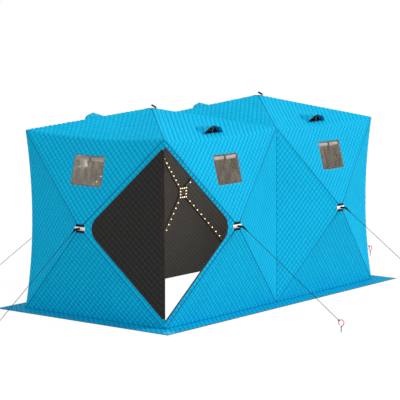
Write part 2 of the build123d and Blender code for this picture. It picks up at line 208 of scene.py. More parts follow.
def quilted(name, colour, shade_colour, thread):
    """Quilted cloth: weave, painted shade in the stitch grooves and along the seam lines, their threads and
    soft mottling.
    """
    make = Nodes(name)
    colour, shade_colour, thread = linear(*colour), linear(*shade_colour), linear(*thread)
    flat = make.uv("quilt")
    s, t = make.split(flat)
    shades, stitches = [], []
    # each set of stitch grooves is darkened towards the shade colour: painted shade, less in the shallower
    # set
    for along, across, depth in ((s, t, 1.0), (t, s, MINOR_DEPTH)):
        share = make.math("FRACT", make.math("ADD", make.math("DIVIDE", across, PITCH), 0.5))
        off = make.math("MULTIPLY", make.math("ABSOLUTE", make.math("SUBTRACT", share, 0.5)), PITCH)
        shades.append(make.math("MULTIPLY", make.ramp(off, 0.0, GROOVE_SHADE_WIDTH, 1.0, 0.0), depth))
        thread_line = make.ramp(off, *THREAD_WIDTH, 1.0, 0.0)
        stitches.append(make.math("MULTIPLY", thread_line, dashes(make, along, STITCH_STEP)))
    shade = make.math("MAXIMUM", *shades)
    stitch = make.math("MAXIMUM", *stitches)
    border, run = make.split(make.uv("seam"))
    # darker along the pole-line seams: painted shade of the seam crease
    seam_shade = make.ramp(border, *SEAM_SHADE_BAND, 1.0, 0.0)
    near = make.math("COMPARE", border, SEAM_THREAD_PLACE)
    near.node.inputs[2].default_value = SEAM_THREAD_HALF
    seam_stitch = make.math("MULTIPLY", near, dashes(make, run, SEAM_STITCH_STEP))
    fine = make.noise(900, 2)
    base = make.add("ShaderNodeMix", data_type="RGBA", blend_type="MULTIPLY")
    base.inputs[0].default_value = 1
    base.inputs[6].default_value = (*colour, 1)
    make.link(make.mix(make.ramp(make.noise(2.2, 3), 0.3, 0.7), *MOTTLE), base.inputs[7])
    body = make.mix(make.math("MULTIPLY", shade, 0.75), base.outputs[2], shade_colour)
    body = make.mix(make.math("MULTIPLY", seam_shade, 0.75), body, shade_colour)
    body = make.mix(make.math("MULTIPLY", make.math("MAXIMUM", stitch, seam_stitch), 0.6), body, thread)
    height = make.math("ADD", weave(make, flat, YARN_SCALE, 0.5), make.math("MULTIPLY", fine, 0.5))
    height = make.math("SUBTRACT", height, make.math("MULTIPLY", shade, 2.0))
    make.bump(height, 0.0003, 0.1)
    return make.finish(body, make.ramp(fine, 0.3, 0.7, 0.64, 0.76), Specular_IOR_Level=0.08)


def cloth(name, colour, dark, scale=700, roughness=0.75, size=0.0004):
    """Plain woven cloth without quilting, in object space."""
    make = Nodes(name)
    colour, dark = linear(*colour), linear(*dark)
    where = make.add("ShaderNodeTexCoord").outputs["Object"]
    mottled = make.mix(make.ramp(make.noise(6, 4), 0.35, 0.7), colour, dark)
    height = make.math("ADD", weave(make, where, scale, 0.6), make.noise(scale, 2))
    make.bump(height, size, 0.6)
    rough = make.ramp(make.noise(40, 2), 0.3, 0.7, roughness - 0.05, roughness + 0.05)
    return make.finish(mottled, rough, Specular_IOR_Level=0.2)


def moulded(name, colour, dark, roughness=0.45, metallic=0.0):
    """Moulded plastic or painted metal with a fine surface and slight wear."""
    make = Nodes(name)
    colour, dark = linear(*colour), linear(*dark)
    worn = make.mix(make.ramp(make.noise(30, 5), 0.4, 0.75), colour, dark)
    make.bump(make.noise(220, 3), 0.0003, 0.4)
    rough = make.ramp(make.noise(60, 3), 0.3, 0.7, roughness - 0.08, roughness + 0.1)
    return make.finish(worn, rough, Metallic=metallic)


# the colour that the shell's grooves and seams darken to: painted shade
SHELL_PAINTED_SHADE = (0, 104, 150)
MOTTLE = ((0.93, 0.95, 0.96), (1.0, 1.0, 1.0))
shell = quilted("quilted_shell", (0, 177, 219), SHELL_PAINTED_SHADE, (10, 130, 180))
lining = quilted("quilted_lining", (48, 47, 46), (14, 14, 15), (60, 60, 60))
# the skirt cloth is a darker shell colour: painted shade of the hut's shadow on the skirt
shaded_skirt_shell = quilted("quilted_skirt", (0, 162, 204), SHELL_PAINTED_SHADE, (10, 120, 165))
hem = cloth("hem_tape", (50, 42, 38), (36, 31, 29), 500)
window_hem = cloth("window_hem_tape", (124, 92, 84), (98, 74, 70), 500)
webbing = cloth("webbing", (17, 17, 19), (11, 11, 13), 450, 0.7, 0.0006)
reflective = cloth("reflective_tape", (235, 236, 238), (215, 218, 222), 320, 0.35, 0.0003)
cap_cloth = cloth("cap_cloth", (5, 128, 168), (3, 112, 150), 600, 0.6)
blind_cloth = cloth("blind_cloth", (250, 240, 240), (236, 222, 222), 600, 0.8)
# darker blue cloth: the vent hood hems, and painted seam shade on the piping beside the doorway
piping_and_seam_shade = cloth("seam_piping", (6, 82, 118), (3, 70, 104), 600, 0.7)
# darker than the shell: painted shade of the seam creases along the pole lines
pole_seam_shade_piping = cloth("pole_line_piping", (2, 130, 174), (1, 118, 160), 600, 0.7)
ring_paint = moulded("ring_paint", (228, 26, 44), (200, 18, 34), 0.35)
steel = moulded("stake_steel", (128, 128, 130), (92, 92, 94), 0.42, 0.8)
pole_material = moulded("pole_rod", (38, 38, 40), (26, 26, 28), 0.4)
plastic = moulded("hub_plastic", (34, 34, 36), (24, 24, 26), 0.5)
prop_material = moulded("vent_prop", (112, 62, 52), (84, 50, 44), 0.5)
rope_material = cloth("rope", (40, 40, 44), (28, 28, 32), 900, 0.8, 0.0003)
mesh_material = cloth("vent_mesh", (18, 18, 20), (10, 10, 12), 400, 0.8)
wire_material = moulded("wire", (120, 100, 60), (90, 74, 44), 0.45)
SCUFF_SCALE = (26, 26, 7)


def film_material(name, clear, scuffed, inside_shade_tint):
    """Clear flexible film with soft scuffs; its smoky tint and haze are partly painted shade of the dim
    inside seen through it.
    """
    make = Nodes(name)
    inside_shade_tint = linear(*inside_shade_tint)
    stretch = make.add("ShaderNodeMapping")
    stretch.inputs["Scale"].default_value = SCUFF_SCALE
    make.link(make.add("ShaderNodeTexCoord").outputs["Object"], stretch.inputs["Vector"])
    scuffs = make.ramp(make.noise(1, 5, stretch.outputs[0]), 0.35, 0.75)
    colour = make.mix(scuffs, inside_shade_tint, tuple(min(1.0, 1.7 * c) for c in inside_shade_tint))
    rough = make.ramp(make.noise(60, 3), 0.3, 0.7, 0.1, 0.24)
    make.bump(make.noise(18, 3), 0.001, 0.3)
    haze = make.math("ADD", make.math("MULTIPLY", scuffs, scuffed), clear)
    make.link(haze, make.shader.inputs["Alpha"])
    return make.finish(colour, rough, IOR=1.45)


def bulb_material():
    make = Nodes("bulb")
    glow = make.mix(make.ramp(make.noise(60, 2), 0.3, 0.7), linear(255, 226, 170), linear(255, 240, 205))
    make.link(glow, make.shader.inputs["Emission Color"])
    return make.finish(glow, 0.3, Emission_Strength=1.4)


film = film_material("window_film", 0.22, 0.10, (114, 106, 94))
# nearly opaque and dark: painted shade of the dim inside, on the back windows
inside_shade_film = film_material("window_film_hazy", 0.93, 0.05, (70, 66, 60))
end_film = film_material("window_film_end", 0.42, 0.06, (134, 127, 117))
bulb = bulb_material()

# The bays of the frame and their fabric triangles


def base_point(x, y, depth=0.0):
    return np.array([x - side(x) * depth, y - side(y) * depth, 0.0])


def eave_point(x, y, depth=0.0):
    inset = INSET + depth * (1 - INSET / EAVE)
    return np.array([x - side(x) * inset, y - side(y) * inset, EAVE - depth])


def corner_point(corner, depth=0.0):
    kind, x, y = corner
    return eave_point(x, y, depth) if kind == "eave" else base_point(x, y, depth)


class Bay:
    """One popped-out square of fabric: four corners, the hub and the outward direction."""

    def __init__(self, name, corners, hub, out):
        self.name = name
        self.corners = corners
        self.hub = np.array(hub, float)
        self.out = np.array(out, float)
        reaches = []
        for index in range(4):
            middle = (self.corner(index) + self.corner(index + 1)) / 2 - self.hub
            reaches.append(np.linalg.norm(middle - self.out * (middle @ self.out)))
        pops = [(self.hub - self.corner(index)) @ self.out for index in range(4)]
        self.hole = HOLE_REACH / min(reaches)
        self.patch_seat = self.hole * min(pops) - 0.0003
        up = np.array([0.0, 0.0, 1.0])
        self.along = np.array([1.0, 0, 0]) if self.out[2] else np.cross(up, self.out)
        self.up = np.cross(self.out, self.along)

    def corner(self, index, depth=0.0):
        return corner_point(self.corners[index % 4], depth)


def wall_bay(name, left, right, out):
    hub = (np.array([*left, 0.0]) + np.array([*right, 0.0])) / 2 + np.array(out) * POP
    hub[2] = WALL_HUB
    corners = [("base", *left), ("base", *right), ("eave", *right), ("eave", *left)]
    return Bay(name, corners, hub, out)


def roof_bay(name, left, right, rise):
    y = HALF_WIDTH
    corners = [("eave", left, -y), ("eave", right, -y), ("eave", right, y), ("eave", left, y)]
    return Bay(name, corners, ((left + right) / 2, 0, EAVE + rise), (0, 0, 1))


FRONT, BACK, LEFT, RIGHT = (0, -1, 0), (0, 1, 0), (-1, 0, 0), (1, 0, 0)
front_left = wall_bay("front_left", (-CELL, -HALF_WIDTH), (0, -HALF_WIDTH), FRONT)
front_right = wall_bay("front_right", (0, -HALF_WIDTH), (CELL, -HALF_WIDTH), FRONT)
back_left = wall_bay("back_left", (0, HALF_WIDTH), (-CELL, HALF_WIDTH), BACK)
back_right = wall_bay("back_right", (CELL, HALF_WIDTH), (0, HALF_WIDTH), BACK)
left_end = wall_bay("left_end", (-CELL, HALF_WIDTH), (-CELL, -HALF_WIDTH), LEFT)
right_end = wall_bay("right_end", (CELL, -HALF_WIDTH), (CELL, HALF_WIDTH), RIGHT)
wall_bays = [front_left, front_right, back_left, back_right, left_end, right_end]
roof_bays = [
    roof_bay("left_roof", -CELL, 0, ROOF_RISES[0]),
    roof_bay("right_roof", 0, CELL, ROOF_RISES[1]),
]


def edge_bow(first, last):
    """The vector by which the middle of a free edge between two corners is pulled in."""
    a, b = first[1:], last[1:]
    inner = corner_point(first, FABRIC) + corner_point(last, FABRIC)
    inward = unit(inner - corner_point(first) - corner_point(last))
    if first[0] == "eave" and last[0] == "eave":
        if a[0] == 0 and b[0] == 0:
            return np.zeros(3)
        if a[1] > 0 and b[1] > 0:
            return inward * BACK_SAG
        level = unit([inward[0], inward[1], 0])
        return level * SAG_IN - np.array([0, 0, SAG_DOWN])
    if first[0] == "base" and last[0] == "base" or a[0] == 0 or a == DOOR_CORNER:
        return np.zeros(3)
    return inward * CORNER_BOW


class Panel:
    """One fabric triangle: its flat plane, the bow of its free edge and the way onto its surface."""

    def __init__(self, bay, index, bulge=0.0, lean=0.0):
        self.bay = bay
        self.ends = [(bay.corner(index, d), bay.corner(index + 1, d)) for d in (0, FABRIC)]
        self.tips = [bay.hub - bay.out * d for d in (0, FABRIC)]
        self.bow = edge_bow(bay.corners[index % 4], bay.corners[(index + 1) % 4])
        self.bulge = bulge
        first, last = self.ends[0]
        tip = self.tips[0]
        self.e1 = unit(last - first)
        foot = first + self.e1 * ((tip - first) @ self.e1)
        self.e2 = unit(foot - tip)
        self.height = np.linalg.norm(foot - tip)
        self.start = (first - tip) @ self.e1
        self.stop = (last - tip) @ self.e1
        self.normal = np.cross(self.e1, self.e2)
        if self.normal @ bay.out < 0:
            self.normal = -self.normal
        level = unit(np.cross((0, 0, 1), self.normal))
        rising = np.cross(self.normal, level)
        turn = math.radians(lean)
        level, rising = (
            level * math.cos(turn) + rising * math.sin(turn),
            rising * math.cos(turn) - level * math.sin(turn),
        )
        self.diagonals = [unit(level + rising), unit(rising - level)]
        self.seed = round(float(tip @ (3.1, 5.7, 7.9)) * 10) + index

    def flat(self, point):
        """Flat coordinates of a point in space."""
        away = np.asarray(point) - self.tips[0]
        return np.array([away @ self.e1, away @ self.e2])

    def outline(self):
        low = self.bay.hole
        return [
            (self.start * low, self.height * low),
            (self.stop * low, self.height * low),
            (self.stop, self.height),
            (self.start, self.height),
        ]

    def quilt(self, points):
        """Where flat points lie between the two sets of stitch lines."""
        world = np.outer(points[:, 0], self.e1) + np.outer(points[:, 1], self.e2)
        pair = np.stack([world @ self.diagonals[0], world @ self.diagonals[1]], 1)
        return pair[:, ::-1] if self.bay.out[0] else pair

    def place(self, points, layer=0):
        """Points on the outer (0) or inner (1) face, from flat coordinates."""
        w = np.maximum(points[:, 1] / self.height, 1e-6)
        u = (points[:, 0] / w - self.start) / (self.stop - self.start)
        first, last = self.ends[layer]
        tip = self.tips[layer]
        chord = first + np.outer(u, last - first)
        at = tip + (chord - tip) * w[:, None]
        share = np.clip((w - self.bay.hole) / (1 - self.bay.hole), 0, 1) * 4 * u * (1 - u)
        at = at + np.outer(share, self.bow)
        # the bulge dies out at all three sides; 27 makes it whole at the triangle's centre
        crown = 27 * (1 - w) * (w * u) * (w * (1 - u))
        return at + np.outer(crown * self.bulge, self.normal)

    def lifted(self, points, lift):
        """Points off the outer face, each by its own lift."""
        return self.place(points) + self.normals(points) * lift[:, None]

    def normals(self, points):
        step = 0.002
        a = self.place(points + (step, 0)) - self.place(points - (step, 0))
        b = self.place(points + (0, step)) - self.place(points - (0, step))
        n = np.cross(a, b)
        n /= np.linalg.norm(n, axis=1)[:, None]
        return n * np.sign(n @ self.normal)[:, None]

    def folds(self, points):
        """Soft uneven billows and the fans of small folds at the corners."""
        out = np.zeros(len(points))
        for k, (x, y) in enumerate(points):
            out[k] = noise.noise(Vector((x * 3.1, y * 3.1, self.seed * 1.7)))
            out[k] += 0.5 * noise.noise(Vector((x * 8.0, y * 8.0, self.seed * 2.3)))
        out *= BILLOW
        corners = [np.array((self.start, self.height)), np.array((self.stop, self.height))]
        for turn, corner in enumerate(corners):
            away = points - corner
            reach = np.linalg.norm(away, axis=1)
            angle = np.arctan2(away[:, 1], away[:, 0])
            fan = np.sin(angle * FAN_FOLDS + self.seed + turn)
            out += FAN * fan * np.exp(-((reach - FAN_REACH) / FAN_SPREAD) ** 2)
        return out


def border_distance(points, outline):
    """Distance of flat points to a closed outline, and how far along it they lie."""
    best = np.full(len(points), 9.0)
    run = np.zeros(len(points))
    done = 0.0
    for p, q in zip(outline, list(outline[1:]) + [outline[0]]):
        p, q = np.array(p), np.array(q)
        length = np.linalg.norm(q - p)
        if length < 1e-9:
            continue
        t = np.clip((points - p) @ (q - p) / length**2, 0, 1)
        gap = np.linalg.norm(points - p - np.outer(t, q - p), axis=1)
        near = gap < best
        best[near] = gap[near]
        run[near] = (done + t * length)[near]
        done += length
    return best, run


def across_line(p, q):
    """The direction square to a flat line."""
    return unit([q[1] - p[1], p[0] - q[0]])


def away_from(p, q, centre):
    """The direction square to a flat line that points away from a centre."""
    away = across_line(p, q)
    return away if away @ (centre - p) < 0 else -away


def line_distance(points, p, q):
    """Distance of flat points from the line through two points."""
    return np.abs((points - np.array(p)) @ across_line(p, q))


def cloth_lift(panel, points, damp=1.0):
    """How far the soft billows stand off the panel's smooth shape."""
    soft = smooth(border_distance(points, panel.outline())[0] / BILLOW_FADE)
    return panel.folds(points) * soft * damp


def flat_area(points, faces):
    total = 0.0
    for f in faces:
        x, y = points[f, 0], points[f, 1]
        total += abs(x @ np.roll(y, -1) - y @ np.roll(x, -1)) / 2
    return total


def lattice(outline, to_quilt):
    """Flat quads on the stitch lattice that cover a convex outline, in a bmesh cut to it."""
    corners = np.array(outline)
    origin = to_quilt(np.array([[0.0, 0.0]]))[0]
    basis = (to_quilt(np.array([[1.0, 0.0], [0.0, 1.0]])) - origin).T
    back = np.linalg.inv(basis)
    quilt = to_quilt(corners)
    low = np.floor(quilt.min(0) / PITCH).astype(int) - 1
    high = np.ceil(quilt.max(0) / PITCH).astype(int) + 1
    lines = []
    for k in (0, 1):
        lines.append([(c + s) * PITCH for c in range(low[k], high[k]) for s in STEPS])
    gs, gt = np.meshgrid(*lines, indexing="ij")
    flat = (np.stack([gs.ravel(), gt.ravel()], 1) - origin) @ back.T
    rows, columns = gs.shape
    centre = corners.mean(0)
    sides = []
    for p, q in zip(corners, np.roll(corners, -1, 0)):
        if np.linalg.norm(q - p) < 1e-9:
            continue
        sides.append((p, away_from(p, q, centre)))
    depth = np.full(len(flat), -9.0)
    for p, away in sides:
        depth = np.maximum(depth, (flat - p) @ away)
    keep = (depth < PITCH).reshape(rows, columns)
    bm = bmesh.new()
    made = {}

    def vert(i, j):
        if (i, j) not in made:
            x, y = flat[i * columns + j]
            made[(i, j)] = bm.verts.new((x, y, 0))
        return made[(i, j)]

    for i in range(rows - 1):
        for j in range(columns - 1):
            if keep[i, j] and keep[i + 1, j] and keep[i, j + 1] and keep[i + 1, j + 1]:
                bm.faces.new([vert(i, j), vert(i + 1, j), vert(i + 1, j + 1), vert(i, j + 1)])
    for p, away in sides:
        geom = bm.verts[:] + bm.edges[:] + bm.faces[:]
        bmesh.ops.bisect_plane(
            bm, geom=geom, dist=1e-6, plane_co=(*p, 0), plane_no=(*away, 0), clear_outer=True
        )
    return bm


def cut_out(bm, hole):
    """Cut a convex hole out of a flat bmesh."""
    corners = np.array(hole)
    centre = corners.mean(0)
    inside = list(bm.faces)
    for p, q in zip(corners, np.roll(corners, -1, 0)):
        away = away_from(p, q, centre)
        edges = list({e for f in inside for e in f.edges})
        verts = list({v for f in inside for v in f.verts})
        cut = bmesh.ops.bisect_plane(
            bm, geom=inside + edges + verts, dist=1e-6, plane_co=(*p, 0), plane_no=(*away, 0)
        )
        faces = [g for g in cut["geom"] if isinstance(g, bmesh.types.BMFace)]
        inside = []
        for f in faces:
            c = f.calc_center_median()
            if (c.x - p[0]) * away[0] + (c.y - p[1]) * away[1] < 0:
                inside.append(f)
    bmesh.ops.delete(bm, geom=inside, context="FACES")


def arrays(bm):
    """Flat points and faces of a bmesh, which is freed."""
    for v in [v for v in bm.verts if not v.link_faces]:
        bm.verts.remove(v)
    bm.verts.index_update()
    points = np.array([(v.co.x, v.co.y) for v in bm.verts])
    faces = [[v.index for v in f.verts] for f in bm.faces]
    if bm.faces and bm.faces[:][0].normal.z < 0:
        faces = [f[::-1] for f in faces]
    bm.free()
    return points, faces


class Shape:
    """Vertices, faces, material numbers and UVs gathered for one piece."""

    def __init__(self):
        self.points = []
        self.faces = []
        self.mats = []
        self.quilt = []
        self.seam = []
        self.sharp = []
        self.count = 0

    def add(self, points, faces, mat=0, quilt=None, seam=None, lines=None):
        points = np.asarray(points, float)
        self.points.append(points)
        self.faces += [[i + self.count for i in f] for f in faces]
        self.mats += [mat] * len(faces)
        zero = np.zeros((len(points), 2))
        self.quilt.append(zero if quilt is None else quilt)
        self.seam.append(zero + (1.0, 0) if seam is None else seam)
        self.sharp.append(np.full((len(points), 2), np.nan) if lines is None else lines)
        self.count += len(points)

    def add_cloth(self, outer, inner, faces, mats=(0, 1, 0), quilt=None, seam=None, lines=(None, None)):
        """Add a cloth: outer and inner faces on one mesh, joined round every border."""
        self.add(outer, faces, mats[0], quilt, seam, lines[0])
        first = self.count - len(outer)
        self.add(inner, [f[::-1] for f in faces], mats[1], quilt, seam, lines[1])
        second = self.count - len(inner)
        for a, b in boundary(faces):
            self.faces.append([first + b, first + a, second + a, second + b])
            self.mats.append(mats[2])

    def build(self, name, materials, slot, replaced=(), angle=None, body="shelter"):
        """Make the piece. Sharp edges are its stitch lines, or else those over an angle."""
        mesh = bpy.data.meshes.new(name)
        points = np.concatenate(self.points)
        mesh.from_pydata([tuple(p) for p in points], [], self.faces)
        for material in materials:
            mesh.materials.append(material)
        mesh.polygons.foreach_set("material_index", np.array(self.mats, np.int32))
        mesh.polygons.foreach_set("use_smooth", np.full(len(self.faces), True))
        loops = np.zeros(len(mesh.loops), np.int32)
        mesh.loops.foreach_get("vertex_index", loops)
        counts = np.array([len(f) for f in self.faces])
        firsts = np.concatenate([[0], np.cumsum(counts)[:-1]])
        quilt = np.concatenate(self.quilt)[loops]
        # each face's cell is moved to the origin, which keeps the numbers small and exact
        centres = np.add.reduceat(quilt, firsts) / counts[:, None]
        quilt = quilt - np.repeat(np.floor(centres / PITCH) * PITCH, counts, axis=0)
        for key, data in (("quilt", quilt), ("seam", np.concatenate(self.seam)[loops])):
            layer = mesh.uv_layers.new(name=key)
            layer.data.foreach_set("uv", data.astype(np.float32).ravel())
        on_line = np.concatenate(self.sharp)
        if not np.isnan(on_line).all():
            ends = np.zeros(len(mesh.edges) * 2, np.int32)
            mesh.edges.foreach_get("vertices", ends)
            a, b = on_line[ends[::2]], on_line[ends[1::2]]
            same = (np.abs(a - b) < 0.5) & ~np.isnan(a) & ~np.isnan(b)
            layer = mesh.attributes.new("sharp_edge", "BOOLEAN", "EDGE")
            layer.data.foreach_set("value", same.any(1))
        elif angle is not None:
            mesh.set_sharp_from_angle(angle=math.radians(angle))
        mesh.validate()
        piece = bpy.data.objects.new(name, mesh)
        bpy.context.scene.collection.objects.link(piece)
        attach(piece, body)
        if replaced:
            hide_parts(*replaced)
        return piece


def boundary(faces):
    """Directed edges that only one face uses."""
    seen = {}
    for f in faces:
        for a, b in zip(f, f[1:] + f[:1]):
            seen[(a, b)] = True
    return [(a, b) for a, b in seen if (b, a) not in seen]


def puffs(quilt, seed):
    """Pillow height: 0 at one set of stitch lines, more at the other and about 1 in the cells."""
    cells = quilt / PITCH
    whole = np.floor(cells + 1e-6)
    share = np.clip(cells - whole, 0, 1)
    bump = np.sqrt(1 - (2 * share - 1) ** 2)
    rise = (1 - MINOR_DEPTH + MINOR_DEPTH * bump[:, 0]) * bump[:, 1]
    mixed = np.sin(whole[:, 0] * 12.9898 + whole[:, 1] * 78.233 + seed) * 43758.5453
    return rise * (0.78 + 0.34 * (mixed - np.floor(mixed)))


def stitch_lines(quilt):
    """Number of the stitch line that each point lies on, for each direction, or not a number."""
    number = quilt / PITCH
    near = np.abs(number - np.round(number)) < 0.002
    return np.where(near, np.round(number), np.nan)


def first_normal(points, faces):
    """The direction that a mesh's first face looks in."""
    a, b, c = (points[number] for number in faces[0][:3])
    return np.cross(b - a, c - b)


def two_layers(shape, faces, outer, inner, quilt, seam, mats=(0, 1, 0)):
    """Add a quilted cloth: outer and inner faces on the same flat mesh, creased at its stitch lines."""
    lines = stitch_lines(quilt)
    shape.add_cloth(outer, inner, faces, mats, quilt, seam, (lines, lines + 0.25))


def quilt_panel(shape, panel, holes=(), damp=1.0, seam_fade=SEAM_FADE):
    """Add one quilted triangle, with its holes, to a shape. Returns its flat area."""
    bm = lattice(panel.outline(), panel.quilt)
    for hole in holes:
        cut_out(bm, hole)
    points, faces = arrays(bm)
    outline = panel.outline()
    gap = border_distance(points, outline)[0]
    left = line_distance(points, outline[3], outline[0])
    right = line_distance(points, outline[1], outline[2])
    seams = np.minimum(left, right)
    run = np.linalg.norm(points, axis=1)
    for hole in holes:
        gap = np.minimum(gap, border_distance(points, hole)[0])
    quilt = panel.quilt(points)
    fade = smooth(gap / seam_fade)
    rise = puffs(quilt, panel.seed)
    normal = panel.normals(points)
    folds = cloth_lift(panel, points, damp)
    out = folds + (rise * PUFF * damp - GROOVE_SINK) * fade
    into = folds - rise * LINING_PUFF * fade
    outer = panel.place(points) + normal * out[:, None]
    inner = panel.place(points, 1) + normal * into[:, None]
    if first_normal(outer, faces) @ panel.normal < 0:
        faces = [f[::-1] for f in faces]
    two_layers(shape, faces, outer, inner, quilt, np.stack([seams, run], 1))
    return flat_area(points, faces)


# Panels of the walls and the roof

WINDOW = (0.380, 0.300)
WINDOW_PLACE = 0.644
VENT_MOUTH = 0.110
SCREEN = (0.200, 0.120)
VENT_DEPTH = 0.270
HOLE_FAR_HALF, HOLE_NEAR_HALF = 0.045, 0.092
FLAP_SIDE_DAMP, FLAP_SIDE_FADE = 0.45, 0.045


def rectangle(x, y, width, height):
    w, h = width / 2, height / 2
    return [(x - w, y - h), (x + w, y - h), (x + w, y + h), (x - w, y + h)]


def vent_edges(panel):
    """How far down a slope the net's hole starts and ends."""
    middle = panel.height - VENT_MOUTH - VENT_DEPTH / 2
    return middle - SCREEN[1] / 2, middle + SCREEN[1] / 2


def vent_hole(panel):
    """The hole under a vent, wider towards the eave."""
    mid = 0.5 * (panel.start + panel.stop)
    far, near = vent_edges(panel)
    return [
        (mid - HOLE_FAR_HALF, far),
        (mid + HOLE_FAR_HALF, far),
        (mid + HOLE_NEAR_HALF, near),
        (mid - HOLE_NEAR_HALF, near),
    ]


def quilted_piece(name, node, parts):
    """Build the panels of one node as one cloth, declared by its last panel's flat size."""
    shape = Shape()
    area = 0.0
    for panel, settings in parts:
        area += quilt_panel(shape, panel, **settings)
    piece = shape.build(name, [shell, lining], "quilted_shell", [node])


upper = {}
for bay in wall_bays:
    panel = Panel(bay, 2, bulge=0.010)
    upper[bay.name] = panel
    hole = rectangle(0, panel.height * WINDOW_PLACE, *WINDOW)
    quilted_piece(f"{bay.name}_upper_cloth", f"{bay.name}_upper_panel", [(panel, {"holes": [hole]})])
    quilted_piece(f"{bay.name}_lower_cloth", f"{bay.name}_lower_panel", [(Panel(bay, 0), {})])
    parts = []
    for index in (1, 3) if bay is not front_left else (1,):
        behind_flap = bay is left_end and index == 1
        settings = {"damp": FLAP_SIDE_DAMP, "seam_fade": FLAP_SIDE_FADE} if behind_flap else {}
        parts.append((Panel(bay, index), settings))
    quilted_piece(f"{bay.name}_side_cloth", f"{bay.name}_side_panels", parts)

slopes = {}
for bay in roof_bays:
    parts = []
    for index in (0, 2):
        panel = Panel(bay, index)
        slopes[(bay.name, index)] = panel
        parts.append((panel, {"holes": [vent_hole(panel)]}))
    quilted_piece(f"{bay.name}_slope_cloth", f"{bay.name}_slopes", parts)
    parts = [(Panel(bay, 1), {}), (Panel(bay, 3, lean=ROOF_END_LEAN), {})]
    quilted_piece(f"{bay.name}_end_cloth", f"{bay.name}_ends", parts)

# Swept, rounded and gridded shapes


def frames(path, up):
    """Side and up directions along a path, with up kept as near as it can be."""
    path = np.asarray(path, float)
    tangents = np.gradient(path, axis=0)
    tangents /= np.linalg.norm(tangents, axis=1)[:, None]
    ups = np.broadcast_to(np.asarray(up, float), path.shape)
    across = np.cross(tangents, ups)
    across /= np.linalg.norm(across, axis=1)[:, None]
    return across, np.cross(across, tangents)


def reaches_along(path):
    """How far along a path each of its points lies."""
    return np.concatenate([[0], np.cumsum(np.linalg.norm(np.diff(path, axis=0), axis=1))])


def sweep(shape, path, section, up, mat=0, scale=None, closed=False):
    """Add a closed cross-section, (across, up) pairs, carried along a path."""
    path = np.asarray(path, float)
    section = np.asarray(section, float)
    if closed:
        wrapped = np.concatenate([path[-1:], path, path[:1]])
        ups = up if np.ndim(up) == 1 else np.concatenate([up[-1:], up, up[:1]])
        across, rise = (way[1:-1] for way in frames(wrapped, ups))
    else:
        across, rise = frames(path, up)
    size = np.ones(len(path)) if scale is None else np.asarray(scale, float)
    n, m = len(path), len(section)
    points = (
        path[:, None]
        + across[:, None] * (section[None, :, 0, None] * size[:, None, None])
        + rise[:, None] * (section[None, :, 1, None] * size[:, None, None])
    ).reshape(-1, 3)
    faces = []
    for i in range(n if closed else n - 1):
        k = (i + 1) % n
        for j in range(m):
            after = (j + 1) % m
            faces.append([i * m + j, i * m + after, k * m + after, k * m + j])
    if not closed:
        faces.append(list(range(m))[::-1])
        faces.append([(n - 1) * m + j for j in range(m)])
    run = np.repeat(reaches_along(path), m)
    wide = np.tile(section[:, 0], n)
    shape.add(points, [f[::-1] for f in faces], mat, quilt=np.stack([run, wide], 1))


def circle(radius, count=10):
    turn = np.arange(count) / count * 2 * math.pi
    return np.stack([np.cos(turn), np.sin(turn)], 1) * radius


def strap_section(width, thick):
    """A flat strap's cross-section with its corners cut off."""
    w, t = width / 2, thick / 2
    e = min(t * 0.9, w * 0.3)
    half = [(-w, -t + e), (-w + e, -t), (w - e, -t), (w, -t + e)]
    return half + [(-x, -y) for x, y in half]


def rounded_path(points, radius, steps=8):
    """A path with each corner rounded on a parabola, as points."""
    points = [np.asarray(p, float) for p in points]
    out = [points[0]]
    for before, corner, after in zip(points, points[1:], points[2:]):
        a, b = unit(before - corner), unit(after - corner)
        half = math.acos(np.clip(a @ b, -1, 1)) / 2
        shorter = min(np.linalg.norm(before - corner), np.linalg.norm(after - corner))
        reach = min(radius / math.tan(half), 0.49 * shorter)
        p, q = corner + a * reach, corner + b * reach
        for k in range(steps + 1):
            t = k / steps
            out.append((1 - t) ** 2 * p + 2 * t * (1 - t) * corner + t**2 * q)
    out.append(points[-1])
    return np.array(out)


def resample(path, step):
    """Points at even distances along a path, its ends kept."""
    path = np.asarray(path, float)
    reach = reaches_along(path)
    count = max(2, int(round(reach[-1] / step)) + 1)
    at = np.linspace(0, reach[-1], count)
    return np.stack([np.interp(at, reach, path[:, k]) for k in range(path.shape[1])], 1)


def grid_faces(rows, columns):
    faces = []
    for i in range(rows - 1):
        for j in range(columns - 1):
            k = i * columns + j
            faces.append([k, k + 1, k + 1 + columns, k + columns])
    return faces


def sheet_grid(shape, grid, thick, normal, mat=0, under=None, quilt=None):
    """Close a grid of points into a thin cloth. normal is one direction or one for each point."""
    rows, columns = grid.shape[:2]
    top = grid.reshape(-1, 3)
    normal = np.broadcast_to(np.asarray(normal, float), grid.shape).reshape(-1, 3)
    faces = grid_faces(rows, columns)
    if first_normal(top, faces) @ normal[faces[0][0]] < 0:
        faces = [f[::-1] for f in faces]
    mats = (mat, mat if under is None else under, mat)
    shape.add_cloth(top, top - normal * thick, faces, mats, quilt)


# Doorway and door flap

TOP_BORDER, LOW_BORDER, CORNER_HEM = 0.045, 0.050, 0.008
APEX_RADIUS, DOOR_GAP, FLAP_START, FLAP_LIFT = 0.150, 0.006, 0.017, 0.0025
STAND_OFF, HINGE_CORD = 0.0032, 0.0025
ARC_STEPS = 14
ZIP_PLACE, ZIP_TOOTH = -0.0042, 0.0016
END_GAP = 0.010
BINDING = (0.011, 0.0072)
FLAP_PUFF_SHARE = 0.8

hinge_foot = front_left.corner(0) + unit((-1, -1, 0)) * STAND_OFF
hinge_up = unit(front_left.corner(3) - front_left.corner(0))


